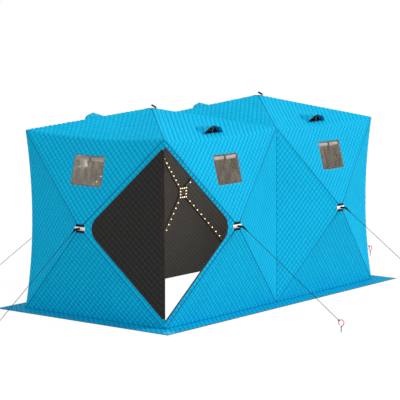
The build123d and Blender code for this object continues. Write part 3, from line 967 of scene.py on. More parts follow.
class DoorFrame:
    """A plane on the hinge line: x along the side panel of a bay, y up the hinge."""

    def __init__(self, bay):
        reach = bay.hub - front_left.corner(0)
        self.x = unit(reach - hinge_up * (reach @ hinge_up))
        self.y = hinge_up
        self.z = np.cross(self.x, self.y)

    def local(self, point):
        away = point - hinge_foot
        return np.array([away @ self.x, away @ self.y])

    def place(self, points, lift=0.0):
        points = np.asarray(points, float)
        base = hinge_foot + np.outer(points[:, 0], self.x) + np.outer(points[:, 1], self.y)
        return base + np.outer(np.broadcast_to(lift, len(points)), self.z)


closed_frame = DoorFrame(front_left)
open_frame = DoorFrame(left_end)


def doorway(start, gap, radius):
    """The doorway's outline on the closed plane, drawn in by a gap, its tip rounded."""
    foot, head = closed_frame.local(front_left.corner(0)), closed_frame.local(front_left.corner(3))
    tip = closed_frame.local(front_left.hub)
    reach = min(tip[0], open_frame.local(left_end.hub)[0])
    low_slope = (tip[1] - foot[1]) / (reach - foot[0])
    high_slope = (tip[1] - head[1]) / (reach - head[0])
    low = foot[1] - low_slope * foot[0] + (LOW_BORDER + gap) * math.hypot(1, low_slope)
    high = head[1] - high_slope * head[0] - (TOP_BORDER + gap) * math.hypot(1, high_slope)
    meet = (high - low) / (low_slope - high_slope)
    corner = np.array([meet, low + low_slope * meet])
    ends = [np.array([start, low + low_slope * start]), np.array([start, high + high_slope * start])]
    a, b = unit(ends[0] - corner), unit(ends[1] - corner)
    half = math.acos(a @ b) / 2
    centre = corner + unit(a + b) * radius / math.sin(half)
    first = corner + a * radius / math.tan(half) - centre
    last = corner + b * radius / math.tan(half) - centre
    turn = math.atan2(first[0] * last[1] - first[1] * last[0], first @ last)
    arc = []
    for k in range(ARC_STEPS + 1):
        angle = turn * k / ARC_STEPS
        c, s = math.cos(angle), math.sin(angle)
        arc.append(centre + (first[0] * c - first[1] * s, first[0] * s + first[1] * c))
    return [ends[0], *arc, ends[1]]


hem_line = closed_frame.local(front_left.corner(0))[0] + CORNER_HEM
door_panel = Panel(front_left, 3)
opening = doorway(hem_line, 0.0, APEX_RADIUS)
opening_flat = [door_panel.flat(p) for p in closed_frame.place(opening)]
shape = Shape()
area = quilt_panel(shape, door_panel, [opening_flat])
piece = shape.build("door_surround_cloth", [shell, lining], "quilted_shell", ["door_surround"])


def offset_outline(outline, distance):
    """An open outline moved sideways, towards its inner side for a positive distance."""
    path = np.asarray(outline, float)
    tangents = np.gradient(path, axis=0)
    tangents /= np.linalg.norm(tangents, axis=1)[:, None]
    inward = np.stack([-tangents[:, 1], tangents[:, 0]], 1)
    centre = path.mean(0)
    if ((centre - path) * inward).sum() < 0:
        inward = -inward
    return path + inward * distance


# Zip round the doorway: its tape, the tape along the hinge side and the teeth
shape = Shape()
edge = resample(np.array(opening), 0.02)
tape_path = closed_frame.place(offset_outline(edge, -0.0035), ZIP_PLACE)
sweep(shape, tape_path, strap_section(0.011, 0.0078), closed_frame.z)
hem_edge = resample(np.array([opening[-1], opening[0]]), 0.05) - (0.0034, 0)
sweep(shape, closed_frame.place(hem_edge, ZIP_PLACE), strap_section(0.0066, 0.0072), closed_frame.z)
teeth = closed_frame.place(offset_outline(edge, 0.0008), ZIP_PLACE)
sweep(shape, teeth, circle(ZIP_TOOTH, 6), closed_frame.z)
shape.build("doorway_zip", [hem], "black_webbing", angle=40)

# Door flap: blue outside, dark quilted lining towards the camera when it is folded back
flap_outline = doorway(FLAP_START, DOOR_GAP, APEX_RADIUS - DOOR_GAP)


def square_quilt(points):
    """Stitch lines at 45 degrees to the axes of a flat piece."""
    return np.stack([points[:, 0] + points[:, 1], points[:, 1] - points[:, 0]], 1) / math.sqrt(2)


points, faces = arrays(lattice(flap_outline, square_quilt))
gap = border_distance(points, flap_outline)[0]
quilt = square_quilt(points)
rise = puffs(quilt, 5.0)
fade = smooth(gap / SEAM_FADE)
billow = np.array([noise.noise(Vector((x * 2.6, y * 2.6, 4.0))) for x, y in points])
billow = (0.5 + 0.5 * billow) * smooth(gap / 0.1) * 0.010
outer_lift = -(FLAP_LIFT + FABRIC) - billow - (rise * PUFF * FLAP_PUFF_SHARE - 0.0004) * fade
outer = open_frame.place(points, outer_lift)
inner = open_frame.place(points, -FLAP_LIFT - billow + rise * FLAP_WALL_PUFF * fade)
if first_normal(outer, faces) @ open_frame.z > 0:
    faces = [f[::-1] for f in faces]
shape = Shape()
two_layers(shape, faces, outer, inner, quilt, np.stack([gap + 1, gap], 1), (1, 0, 1))
piece = shape.build("door_flap_cloth", [shell, lining], "door_quilting", ["door_flap"], body="door")
area = round(flat_area(points, faces), 3)

# The flap's binding, the web between its hem and the hinge, and the hinge cord
shape = Shape()
edge = resample(np.array(flap_outline), 0.02)
middle = -(FLAP_LIFT + FABRIC / 2)
binding = resample(offset_outline(edge, 0.0045), 0.005)
binding = binding[binding[:, 0] > FLAP_START + 0.003]
sweep(shape, open_frame.place(binding, middle), strap_section(*BINDING), open_frame.z)
straight = resample(np.array([flap_outline[-1] - (0, END_GAP), flap_outline[0] + (0, END_GAP)]), 0.05)
sweep(shape, open_frame.place(straight + (0.0035, 0), middle), strap_section(*BINDING), open_frame.z)
low_y, high_y = flap_outline[0][1], flap_outline[-1][1]
rows = np.linspace(low_y + END_GAP, high_y - END_GAP, 60)
web = np.array([(0.0005, 0.0002), (0.006, -0.0001), (0.0118, -0.0002), (0.0150, -0.0018), (0.0185, -0.0040)])
grid = np.array([open_frame.place([(x, y) for x in web[:, 0]], web[:, 1]) for y in rows])
sheet_grid(shape, grid, 0.0010, -open_frame.z)
cord_line = np.array([hinge_foot + hinge_up * y for y in np.linspace(low_y, high_y, 80)])
sweep(shape, cord_line, circle(HINGE_CORD * 0.96, 10), open_frame.z)
shape.build("door_flap_binding", [hem], "black_webbing", ["door_flap"], angle=40, body="door")

# Windows and their rolled blinds

FILM = 0.002
BLIND_RADIUS, BLIND_LENGTH, BLIND_DROP, BLIND_TURNS = 0.020, 0.350, 0.024, 2.6
STRAP_WIDTH, STRAP = 0.026, 0.0015
FILM_EDGE = 0.0004
# windows not listed take the nearly opaque film, which is painted shade
FILM_NUMBERS = {"front_left": 0, "front_right": 0, "left_end": 2}


def full_turn(count):
    """The angles of a closed ring of points."""
    return np.linspace(0, 2 * math.pi, count, endpoint=False)


def surface(panel, x, y, lift=0.0):
    """A point of a panel's outer face, or that far off it."""
    at = np.array([[x, y]])
    return (panel.place(at) + panel.normals(at) * (lift + cloth_lift(panel, at)[:, None]))[0]


def add_film(shape, bay, panel, middle_y, number):
    """One window's film, with soft waves and creases that die out at its edge."""
    columns, rows = 33, 27
    half_x, half_y = WINDOW[0] / 2, WINDOW[1] / 2
    xs = np.linspace(-half_x + FILM_EDGE, half_x - FILM_EDGE, columns)
    ys = np.linspace(middle_y - half_y + FILM_EDGE, middle_y + half_y - FILM_EDGE, rows)
    flat = np.stack([axis.ravel() for axis in np.meshgrid(xs, ys)], 1)
    inset = np.minimum(half_x - np.abs(flat[:, 0]), half_y - np.abs(flat[:, 1] - middle_y))
    waves = []
    for x, y in flat:
        broad = noise.noise(Vector((x * 9, y * 14, number * 3.3)))
        crease = noise.noise(Vector((x * 30 + y * 16, y * 9, number * 5.1)))
        waves.append(0.0036 + 0.0028 * broad + 0.0016 * (1 - 2 * abs(crease)))
    lift = cloth_lift(panel, flat) - 0.001 + np.array(waves) * smooth(inset / 0.03)
    grid = panel.lifted(flat, lift).reshape(rows, columns, 3)
    sheet_grid(shape, grid, 0.0011, panel.normal, mat=FILM_NUMBERS.get(bay.name, 1))


def add_window_hem(shape, panel, middle_y):
    """The tape sewn round a window."""
    reach = (WINDOW[0] / 2 + 0.004, WINDOW[1] / 2 + 0.004)
    corners = []
    for a, b in ((-1, -1), (1, -1), (1, 1), (-1, 1)):
        corners.append(np.array([a * reach[0], middle_y + b * reach[1]]))
    sides = zip(corners, corners[1:] + corners[:1])
    run = np.concatenate([np.linspace(p, q, 12, endpoint=False) for p, q in sides])
    path = panel.lifted(run, 0.0004 + cloth_lift(panel, run))
    sweep(shape, path, strap_section(0.0064, 0.0022), panel.normals(run), closed=True)


def add_blind(blind, straps, panel, middle_y, number):
    """A blind rolled up behind the film at its upper edge, in a strap with a loose tail."""
    turns = np.linspace(0, 2 * math.pi * BLIND_TURNS, 64)
    radius = 0.009 + (BLIND_RADIUS - 0.0098) * turns / turns[-1]
    spiral = np.stack([np.cos(turns), np.sin(turns)], 1)
    section = np.concatenate([spiral * radius[:, None], (spiral * (radius - 0.0012)[:, None])[::-1]])
    depth = (FABRIC + FILM) / 2 + 0.0006 + STRAP + BLIND_RADIUS
    top_y = middle_y + WINDOW[1] / 2 - BLIND_DROP
    stations = np.linspace(-BLIND_LENGTH / 2, BLIND_LENGTH / 2, 29)
    path = np.array([surface(panel, x, top_y, -depth + 0.001 * math.sin(x * 40)) for x in stations])
    swell = 1 - 0.10 * np.exp(-((stations / 0.016) ** 2)) + 0.03 * np.sin(stations * 70 + number)
    sweep(blind, path, section, panel.normal, scale=swell)
    centre = surface(panel, 0, top_y, -depth)
    down = unit(surface(panel, 0, top_y - 0.05, 0) - surface(panel, 0, top_y + 0.05, 0))
    ways = [panel.normal * math.sin(a) + down * math.cos(a) for a in full_turn(28)]
    loop = np.array([centre + way * (BLIND_RADIUS + 0.0009) for way in ways])
    sweep(straps, loop, strap_section(STRAP_WIDTH, STRAP), np.array(ways), closed=True)
    top = centre + panel.normal * 0.0215 + down * 0.004
    tail = [top, top + down * 0.02 - panel.normal * 0.0035, top + down * 0.05 - panel.normal * 0.006]
    sweep(straps, rounded_path(tail, 0.02), strap_section(0.018, 0.0014), panel.normal)


film_shape, frame_shape, blind_shape, strap_shape = Shape(), Shape(), Shape(), Shape()
for number, bay in enumerate(wall_bays):
    panel = upper[bay.name]
    middle_y = panel.height * WINDOW_PLACE
    add_film(film_shape, bay, panel, middle_y, number)
    add_window_hem(frame_shape, panel, middle_y)
    add_blind(blind_shape, strap_shape, panel, middle_y, number)
piece = film_shape.build("window_film", [film, inside_shade_film, end_film], "window_film", ["window_panes"])
frame_shape.build("window_hems", [window_hem], "black_webbing", angle=40)
piece = blind_shape.build("window_blind_rolls", [blind_cloth], "blind_cloth", ["window_blinds"])
strap_shape.build("blind_tie_straps", [webbing], "black_webbing", ["blind_straps"], angle=40)

# Roof vents

VENT_WIDTH, VENT_TAPER, HOOD_LENGTH = 0.320, 0.72, 0.226
VENT_HEIGHTS = {0: 0.078, 2: 0.098}
HOOD_GRID = (27, 33)
LIT_ROWS = 6
NET_ROD, NET_LINES, NET_ROWS = 0.0005, 36, 24


def add_hood(shape, hems, panel, mid, mouth, tall):
    """An arched hood that narrows and sinks towards the hub, with a hem round its mouth."""
    rows, columns = HOOD_GRID
    ats, lifts = [], []
    for i in range(rows):
        q = i / (rows - 1)
        half = VENT_WIDTH / 2 * (1 - VENT_TAPER * q)
        top = (tall + 0.008) * (1 - q) ** 0.85
        for j in range(columns):
            p = -1 + 2 * j / (columns - 1)
            ats.append((mid + p * half, mouth - q * HOOD_LENGTH))
            curve = (1 - p * p) ** 0.85 * (1 - 0.05 * math.sin(7 * p + 5 * q))
            lifts.append(top * curve - 0.0012 * (1 - top * curve / tall))
    ats = np.array(ats)
    grid = panel.lifted(ats, cloth_lift(panel, ats) + np.array(lifts)).reshape(rows, columns, 3)
    normal = np.cross(np.gradient(grid, axis=1), np.gradient(grid, axis=0))
    normal /= np.linalg.norm(normal, axis=2)[:, :, None]
    if normal[4, columns // 2] @ panel.normal < 0:
        normal = -normal
    quilt = panel.quilt(np.stack([ats[:, 0] * 1.1, ats[:, 1]], 1))
    first_face = len(shape.faces)
    sheet_grid(shape, grid, 0.0028, normal, quilt=quilt, under=1)
    # the underside is the dark lining as painted shade inside the hood; only the first rows inside the mouth
    # are the shell's cloth, turned in
    start = first_face + (rows - 1) * (columns - 1)
    count = LIT_ROWS * (columns - 1)
    shape.mats[start : start + count] = [0] * count
    rim, rim_up = grid[0, 1:-1], normal[0, 1:-1]
    sweep(hems, rim - rim_up * 0.0014, strap_section(0.0046, 0.0056), rim_up)


def add_mouth_shade_sheet(shape, panel, mid, mouth):
    """A dark sheet behind the mouth, on the near part of the net: painted shade seen into the hood's mouth.
    """
    low, high = mouth - 0.073, mouth - 0.012
    xs = np.linspace(-0.115, 0.115, 28)
    ys = np.linspace(low, high, max(3, int((high - low) / 0.008)))
    at = np.stack([axis.ravel() for axis in np.meshgrid(xs, ys)], 1) + (mid, 0)
    # this dark sheet is painted shade, not a real tape
    tape = panel.lifted(at, cloth_lift(panel, at) + 0.0066).reshape(len(ys), len(xs), 3)
    sheet_grid(shape, tape, 0.0012, panel.normal)


def add_stay(shape, panel, mid, mouth, tall):
    """The stay that holds a hood open: a batten in a strap, on a dark foot."""
    base = surface(panel, mid, mouth - 0.014, 0.0008)
    peak = surface(panel, mid, mouth - 0.014, tall * 0.955 - 0.004)
    path = rounded_path([base, base * 0.6 + peak * 0.4 + panel.e2 * 0.0036, peak], 0.05)
    sweep(shape, path, strap_section(0.016, 0.0036), panel.e2)
    foot = [base + panel.e1 * a for a in (-0.014, -0.006, 0.006, 0.014)]
    sweep(shape, foot, strap_section(0.022, 0.0036), panel.normal, mat=1)


def add_net(shape, panel, mid):
    """The net over a vent's hole: threads down the slope and across it."""
    far, near = vent_edges(panel)
    spread = HOLE_NEAR_HALF - HOLE_FAR_HALF
    threads = []
    for k in range(NET_LINES + 1):
        x = (HOLE_NEAR_HALF - 0.001) * (2 * k / NET_LINES - 1)
        stop = far + max(0.0, abs(x) - HOLE_FAR_HALF) / spread * (near - far)
        if near - stop > 0.004:
            threads.append([(x, stop + 0.0004), (x, near - 0.0004)])
    for k in range(NET_ROWS + 1):
        y = far + 0.001 + (near - far - 0.002) * k / NET_ROWS
        half = HOLE_FAR_HALF + spread * (y - far) / (near - far) - 0.0005
        threads.append([(-half, y), (half, y)])
    for thread in threads:
        ends = [surface(panel, mid + x, y, -FABRIC / 2) for x, y in thread]
        sweep(shape, ends, circle(NET_ROD, 4), panel.normal)


hood_shape, prop_shape, net_shape, hood_hem = Shape(), Shape(), Shape(), Shape()
for (name, index), panel in slopes.items():
    mid = 0.5 * (panel.start + panel.stop)
    mouth = panel.height - VENT_MOUTH
    tall = VENT_HEIGHTS[index]
    add_hood(hood_shape, hood_hem, panel, mid, mouth, tall)
    add_mouth_shade_sheet(net_shape, panel, mid, mouth)
    add_stay(prop_shape, panel, mid, mouth, tall)
    add_net(net_shape, panel, mid)
piece = hood_shape.build("vent_hood_cloth", [shell, lining], "quilted_shell", ["vent_hoods"])
hood_hem.build("vent_hood_hems", [piping_and_seam_shade], "quilted_shell", ["vent_hoods"], angle=40)
prop_shape.build("vent_stays", [prop_material, webbing], "vent_prop", ["vent_props"], angle=40)
net_shape.build("vent_nets", [mesh_material], "vent_mesh", ["vent_screens"])

# Piping along the pole lines and beside the doorway, darker than the shell as painted shade of the seams

PIPING, SHADED_LINE_PIPING, DOOR_PIPING = 0.0024, 0.0028, 0.0030
DOOR_PIPING_INSET = 0.022

seam_shape = Shape()
for bay in wall_bays:
    for index in range(4):
        corner = bay.corner(index)
        shares = np.linspace(bay.hole + 0.03, 0.992, 40)[:, None]
        path = bay.hub + (corner - bay.hub) * shares + bay.out * 0.0010
        # the two pole lines beside the doorway take the darker cloth: painted shade
        dark = bay is front_left and index in (0, 3)
        sweep(seam_shape, path, circle(SHADED_LINE_PIPING if dark else PIPING, 6), bay.out, mat=int(dark))
# the piping beside the doorway also takes the darker cloth, as painted shade
outline = [np.array(c) for c in door_panel.outline()]
for a, b in ((outline[0], outline[3]), (outline[1], outline[2])):
    inward = -away_from(a, b, np.mean(outline, axis=0))
    line = [a + (b - a) * share + inward * DOOR_PIPING_INSET for share in np.linspace(0.05, 0.955, 60)]
    path = np.array([surface(door_panel, *p, DOOR_PIPING) for p in line])
    sweep(seam_shape, path, circle(DOOR_PIPING, 6), door_panel.normal, mat=1)
seam_shape.build("pole_line_piping", [pole_seam_shade_piping, piping_and_seam_shade], "quilted_shell")

# Hubs, patches and corner cups


def lathe(shape, origin, axis, profile, count=20, mat=0):
    """Turn (radius, height) pairs about an axis; a radius of 0 closes an end."""
    axis = unit(axis)
    helper = (1, 0, 0) if abs(axis[0]) < 0.9 else (0, 1, 0)
    first = unit(np.cross(axis, helper))
    second = np.cross(axis, first)
    points, rings = [], []
    for radius, height in profile:
        start = len(points)
        if radius < 1e-7:
            points.append(origin + axis * height)
            rings.append([start] * count)
            continue
        for k in range(count):
            turn = 2 * math.pi * k / count
            way = first * math.cos(turn) + second * math.sin(turn)
            points.append(origin + axis * height + way * radius)
        rings.append(list(range(start, start + count)))
    faces = []
    for low, high in zip(rings, rings[1:]):
        for k in range(count):
            after = (k + 1) % count
            face = [low[k], low[after], high[after], high[k]]
            face = [v for n, v in enumerate(face) if v not in face[:n]]
            if len(face) > 2:
                faces.append(face)
    shape.add(points, faces, mat)


CHAMFER = 0.001


def socket(shape, start, direction, near, far, bore, outer, mat=0):
    """A hollow sleeve along a direction."""
    edge = far - CHAMFER
    profile = [(bore, near), (outer, near), (outer, edge), (outer - CHAMFER, far)]
    profile += [(bore + CHAMFER, far), (bore, edge), (bore, near)]
    lathe(shape, start, direction, profile, 16, mat)


PATCH, BAND = (0.104, 0.084), (0.134, 0.035)
PATCH_TOP, PATCH_THICK = 0.004, 0.003
CAP = 0.084
POLE_RADIUS = 0.0055
BORE = POLE_RADIUS + 0.0002
HUB_RADIUS, HUB_THICK, BOSS_RADIUS = 0.034, 0.026, 0.020


def hub_front(bay):
    """How far behind the apex a hub's disc starts."""
    steep = 0.0
    for index in range(4):
        middle = (bay.corner(index) + bay.corner(index + 1)) / 2
        middle = middle + edge_bow(bay.corners[index % 4], bay.corners[(index + 1) % 4])
        fall = middle - bay.hub
        drop = abs(fall @ bay.out)
        steep = max(steep, drop / math.sqrt(fall @ fall - drop**2))
    return HUB_RADIUS * steep + FABRIC * math.sqrt(1 + steep**2) + 0.001


def cup_centre(bay, index):
    kind, x, y = bay.corners[index % 4]
    if kind == "eave":
        return eave_point(x, y, 0.028)
    return np.array([*base_point(x, y, 0.028)[:2], 0.017])


def pole_start(bay):
    return bay.hub - bay.out * (hub_front(bay) + HUB_THICK / 2)


def patch_grid(bay, width, height, level, droop, count=(15, 11)):
    """A rectangle over a hub that gives way towards its edges, as sewn cloth over a cone does."""
    grid = np.zeros((count[1], count[0], 3))
    for i, y in enumerate(np.linspace(-height / 2, height / 2, count[1])):
        for j, x in enumerate(np.linspace(-width / 2, width / 2, count[0])):
            away = math.hypot(x, y)
            fall = droop * min(1.0, (away / 0.06)) ** 1.6
            grid[i, j] = bay.hub + bay.along * x + bay.up * y + bay.out * (level - fall)
    return grid


def border_stitches(shape, grid, out):
    """A row of stitching near a patch's border, as a thin raised cord."""
    middle = grid.reshape(-1, 3).mean(0)
    ring = list(grid[0]) + list(grid[1:, -1]) + list(grid[-1, -2::-1]) + list(grid[-2:0:-1, 0])
    path = np.array([middle + (p - middle) * 0.9 for p in ring]) + out * 0.0004
    sweep(shape, path, circle(0.0008, 6), out, closed=True)


def band_grid(bay, seat):
    """The reflective band over a hub, its ends turned down past the patch."""
    grid = np.zeros((3, 19, 3))
    for i, y in enumerate((-BAND[1] / 2, 0, BAND[1] / 2)):
        for j, x in enumerate(np.linspace(-BAND[0] / 2, BAND[0] / 2, 19)):
            over = max(0.0, abs(x) - 0.05) / 0.017
            fall = 0.0035 * min(1.0, math.hypot(x, y) / 0.06) ** 1.6 + 0.003 * over**1.5
            grid[i, j] = bay.hub + bay.along * x + bay.up * y + bay.out * (0.0055 - seat - fall)
    return grid


patch_shape, band_shape, cap_shape, hub_shape = Shape(), Shape(), Shape(), Shape()
for bay in wall_bays:
    grid = patch_grid(bay, *PATCH, PATCH_TOP - bay.patch_seat, 0.0035)
    sheet_grid(patch_shape, grid, PATCH_THICK, bay.out)
    border_stitches(patch_shape, grid, bay.out)
    sheet_grid(band_shape, band_grid(bay, bay.patch_seat), 0.0013, bay.out)
for bay in wall_bays + roof_bays:
    front, start = hub_front(bay), pole_start(bay)
    inner = bay.hub - bay.out * (front + HUB_THICK)
    boss = HUB_THICK + front - bay.patch_seat - 0.0003
    profile = [(0, -0.004), (0.006, -0.0035), (0.009, 0.0), (0.030, 0.0), (HUB_RADIUS, 0.004)]
    profile += [(HUB_RADIUS, HUB_THICK - 0.004), (0.031, HUB_THICK), (BOSS_RADIUS, HUB_THICK)]
    profile += [(BOSS_RADIUS, boss - 0.001), (BOSS_RADIUS - 0.001, boss), (0, boss)]
    lathe(hub_shape, inner, bay.out, profile, 32)
    for index in range(4):
        direction = unit(cup_centre(bay, index) - start)
        socket(hub_shape, start, direction, 0.030, 0.058, BORE, POLE_RADIUS + 0.003)
for bay in roof_bays:
    grid = patch_grid(bay, CAP, CAP, PATCH_TOP - bay.patch_seat, 0.004)
    sheet_grid(cap_shape, grid, PATCH_THICK, bay.out)
    border_stitches(cap_shape, grid, bay.out)
piece = patch_shape.build("hub_patch_cloth", [webbing], "black_webbing", ["hub_patches"])
piece = band_shape.build("hub_reflective_bands", [reflective], "reflective_band", ["hub_bands"])
piece = cap_shape.build("roof_hub_cap_cloth", [cap_cloth], "quilted_shell", ["roof_hub_caps"])
hub_shape.build("pole_hubs", [plastic], "hub_plastic", ["wall_hubs", "roof_hubs"], angle=35)

# Corner cups: a rounded core with a sleeve for each pole that ends there
cup_shape = Shape()
cups = {}
for bay in wall_bays + roof_bays:
    for index in range(4):
        centre = cup_centre(bay, index)
        cups.setdefault(tuple(np.round(centre, 4)), []).append(unit(pole_start(bay) - centre))
for key, directions in cups.items():
    centre = np.array(key)
    mean = unit(np.sum(directions, axis=0))
    core = [(0, -0.0135), (0.006, -0.0125), (0.0108, -0.009), (0.0135, -0.004), (0.0138, 0.002)]
    core += [(0.0125, 0.007), (0.009, 0.0115), (0.004, 0.0135), (0, 0.014)]
    lathe(cup_shape, centre, mean, core, 18)
    for direction in directions:
        socket(cup_shape, centre, direction, 0.008, 0.036, BORE, POLE_RADIUS + 0.0028)
cup_shape.build("corner_sockets", [plastic], "hub_plastic", ["corner_cups"], angle=35)

# Hub straps, guy lines and stakes

STRAP_END, STRAP_THICK = 0.022, 0.003
TAIL_OUT, TAIL_DOWN, TAIL_TURN = 0.060, 0.060, 0.025
ROPE_RADIUS = 0.0031
STAKE_REACH, STAKE_HEIGHT, RING_RADIUS, RING_ROD = 1.386, 0.128, 0.028, 0.004
LAY_LENGTH = 0.020
STEM_RADIUS, COLLAR_RADIUS = 0.0046, 0.0066

# Webbing folded into a thick bundle round the line and sewn, with a groove where its edges meet
folded_strap = [(-0.0075, -0.0085), (-0.0020, -0.0098), (0.0, -0.0078), (0.0020, -0.0098), (0.0075, -0.0085)]
folded_strap += [(0.0095, -0.003), (0.0090, 0.005), (0.0055, 0.0095), (0.0, 0.0102), (-0.0055, 0.0095)]
folded_strap += [(-0.0090, 0.005), (-0.0095, -0.003)]


def twisted(shape, path, radius, lay, up):
    """Three strands laid round a path."""
    across, rise = frames(path, up)
    for strand in range(3):
        turn = 2 * math.pi * (reaches_along(path) / lay + strand / 3)
        off = across * np.cos(turn)[:, None] + rise * np.sin(turn)[:, None]
        sweep(shape, path + off * radius * 0.52, circle(radius * 0.5, 5), up)


def trefoil(shape, centre, axis, side_way, size, thick):
    """An overhand knot pulled up small."""
    turn = full_turn(48)
    path = centre + np.outer(np.sin(turn) + 2 * np.sin(2 * turn), side_way) * size
    path = path + np.outer(np.cos(turn) - 2 * np.cos(2 * turn), np.cross(axis, side_way)) * size
    path = path - np.outer(np.sin(3 * turn), axis) * size * 1.5
    sweep(shape, path, circle(thick, 7), np.array([unit(p - centre) for p in path]), closed=True)


def add_stake(shape, bay, ring):
    """A stake: almost a full turn of rod, running down into a stem with a collar."""
    up = np.array([0.0, 0.0, 1.0])
    turn_path = []
    for a in np.radians(np.linspace(236, -62, 44)):
        turn_path.append(ring + (bay.out * math.cos(a) * 1.06 + up * math.sin(a) * 0.98) * RING_RADIUS)
    last = turn_path[-1]
    stem_top = ring + bay.out * 0.004 - up * (RING_RADIUS + 0.004)
    stem = [last, last * 0.45 + stem_top * 0.55 - up * 0.004, stem_top - up * 0.004]
    path = resample(np.concatenate([turn_path[:-1], rounded_path(stem, 0.01)]), 0.0035)
    sweep(shape, path, circle(RING_ROD * 0.95, 12), bay.along)
    top = ring[2] - RING_RADIUS - RING_ROD
    profile = [(0, 0), (0.002, 0.0), (STEM_RADIUS, 0.012), (STEM_RADIUS, top - 0.014)]
    profile += [(COLLAR_RADIUS, top - 0.013), (COLLAR_RADIUS, top - 0.002), (0.0056, top), (0, top)]
    lathe(shape, np.array([ring[0], ring[1], 0.0]), up, profile, 14, 1)


def add_guy_line(shape, bay, tail_end, down, ring):
    """A laid rope from a strap's end to a stake's ring, with a knot at each end and an eye."""
    knot = ring - down * (RING_RADIUS + RING_ROD + 0.0073)
    run = resample(np.array([tail_end - down * 0.002, knot]), 0.0042)
    twisted(shape, run, ROPE_RADIUS, LAY_LENGTH, bay.along)
    trefoil(shape, tail_end + down * 0.009, down, bay.along, 0.0018, 0.0019)
    trefoil(shape, knot, down, bay.along, 0.0022, 0.0021)
    eye = ring - down * RING_RADIUS
    loop = [eye + (down * math.cos(a) + bay.along * math.sin(a)) * 0.0064 for a in full_turn(20)]
    sweep(shape, np.array(loop), circle(0.0021, 7), unit(np.cross(down, bay.along)), closed=True)


tail_shape, rope_shape, ring_shape = Shape(), Shape(), Shape()
for bay in wall_bays:
    ring = bay.hub + bay.out * (STAKE_REACH - POP)
    ring[2] = STAKE_HEIGHT - RING_ROD - RING_RADIUS
    start = bay.hub + bay.out * (0.0058 - bay.patch_seat)
    bend = start + bay.out * TAIL_OUT
    down = unit(ring - bend)
    tail_end = bend + down * TAIL_DOWN
    path = resample(rounded_path([start, bend, tail_end], TAIL_TURN, 12), 0.006)
    share = np.linspace(0, 1, len(path))
    rise = np.cross(bay.along, np.gradient(path, axis=0))
    sweep(tail_shape, path, folded_strap, rise, scale=1 - 0.55 * smooth((share - 0.45) / 0.55))
    add_guy_line(rope_shape, bay, tail_end, down, ring)
    add_stake(ring_shape, bay, ring)
tail_shape.build("hub_strap_ends", [webbing], "black_webbing", ["hub_patches"], angle=40)
rope_shape.build("guy_lines", [rope_material], "guy_rope", ["guy_ropes"])
ring_shape.build("stakes", [ring_paint, steel], "ring_paint", ["stake_rings", "stake_shafts"], angle=50)

# Webbing loops on the roof hubs
tab_shape = Shape()
TAB_LENGTH, TAB_THICK, TAB_TILT, TAB_SHIFT = 0.056, 0.019, 30, 0.030
for bay in roof_bays:
    level = unit((-1, 1, 0)) * math.cos(math.radians(TAB_TILT))
    lean = level + np.array([0, 0, math.sin(math.radians(TAB_TILT))])
    rise = PATCH_TOP - bay.patch_seat + 0.0003 + TAB_THICK / 2
    foot = bay.hub + np.array([TAB_SHIFT, -TAB_SHIFT, rise])
    middle = foot + lean * (TAB_LENGTH - TAB_THICK) / 2
    sideways = unit(np.cross(lean, (0, 0, 1)))
    over = np.cross(sideways, lean)
    # the webbing is folded twice: an outer loop, an inner loop and a core
    for length, thick in ((TAB_LENGTH, TAB_THICK), (TAB_LENGTH - 0.008, TAB_THICK - 0.0066)):
        half = (length - thick) / 2
        path, outward = [], []
        for sign in (1, -1):
            for k in range(13):
                turn = math.radians(-90 + 15 * k)
                way = (lean * math.cos(turn) + over * math.sin(turn)) * sign
                path.append(middle + lean * half * sign + way * (thick - STRAP_THICK) / 2)
                outward.append(way)
        section = strap_section(STRAP_END, STRAP_THICK)
        sweep(tab_shape, np.array(path), section, np.array(outward), closed=True)
    core = [middle + lean * reach for reach in (-0.019, -0.006, 0.006, 0.019)]
    sweep(tab_shape, core, strap_section(STRAP_END - 0.002, TAB_THICK - 0.0138), over)
tab_shape.build("roof_pull_loops", [webbing], "black_webbing", ["roof_tabs"], angle=40)

# Ground skirt

SKIRT_WIDTH, SKIRT, SKIRT_HEM = 0.195, 0.004, 0.0026
SKIRT_TOP, SKIRT_LOW = 0.0034, 0.0004
SKIRT_PUFF, SKIRT_WAVE = 0.0036, 0.008


def skirt_side(shape, first, last, seed):
    """One side of the ground skirt: quilted cloth laid flat in small uneven waves, with a corded hem."""
    near = POP / WALL_HUB * SKIRT + 0.0003
    far = SKIRT_WIDTH - 0.001
    plan = []
    for (x, y), reach in ((first, near), (last, near), (last, far), (first, far)):
        plan.append((x + side(x) * reach, y + side(y) * reach))
    points, faces = arrays(lattice(plan, square_quilt))
    gap = border_distance(points, plan)[0]
    quilt = square_quilt(points)
    fade = smooth(gap / SEAM_FADE)
    ripple = np.array([noise.noise(Vector((x * 3.1, y * 3.1, seed))) for x, y in points])
    wave = np.maximum(0, ripple) * SKIRT_WAVE * smooth(gap / 0.06)
    top = np.column_stack([points, SKIRT_TOP + wave + puffs(quilt, seed) * SKIRT_PUFF * fade])
    low = np.column_stack([points, SKIRT_LOW + wave])
    two_layers(shape, faces, top, low, quilt, np.stack([gap + 1, gap], 1), (0, 0, 0))
    rim = resample(np.array([[*plan[2], SKIRT_HEM], [*plan[3], SKIRT_HEM]]), 0.05)
    sweep(shape, rim, circle(SKIRT_HEM, 8), (0, 0, 1), mat=1)
    return flat_area(points, faces)


def skirts(name, node, sides, seed):
    """The two skirts along opposite walls, as one piece."""
    shape = Shape()
    total = 0.0
    for number, (first, last) in enumerate(sides):
        total += skirt_side(shape, first, last, seed + number)
    piece = shape.build(name, [shaded_skirt_shell, hem], "skirt_cloth", [node])


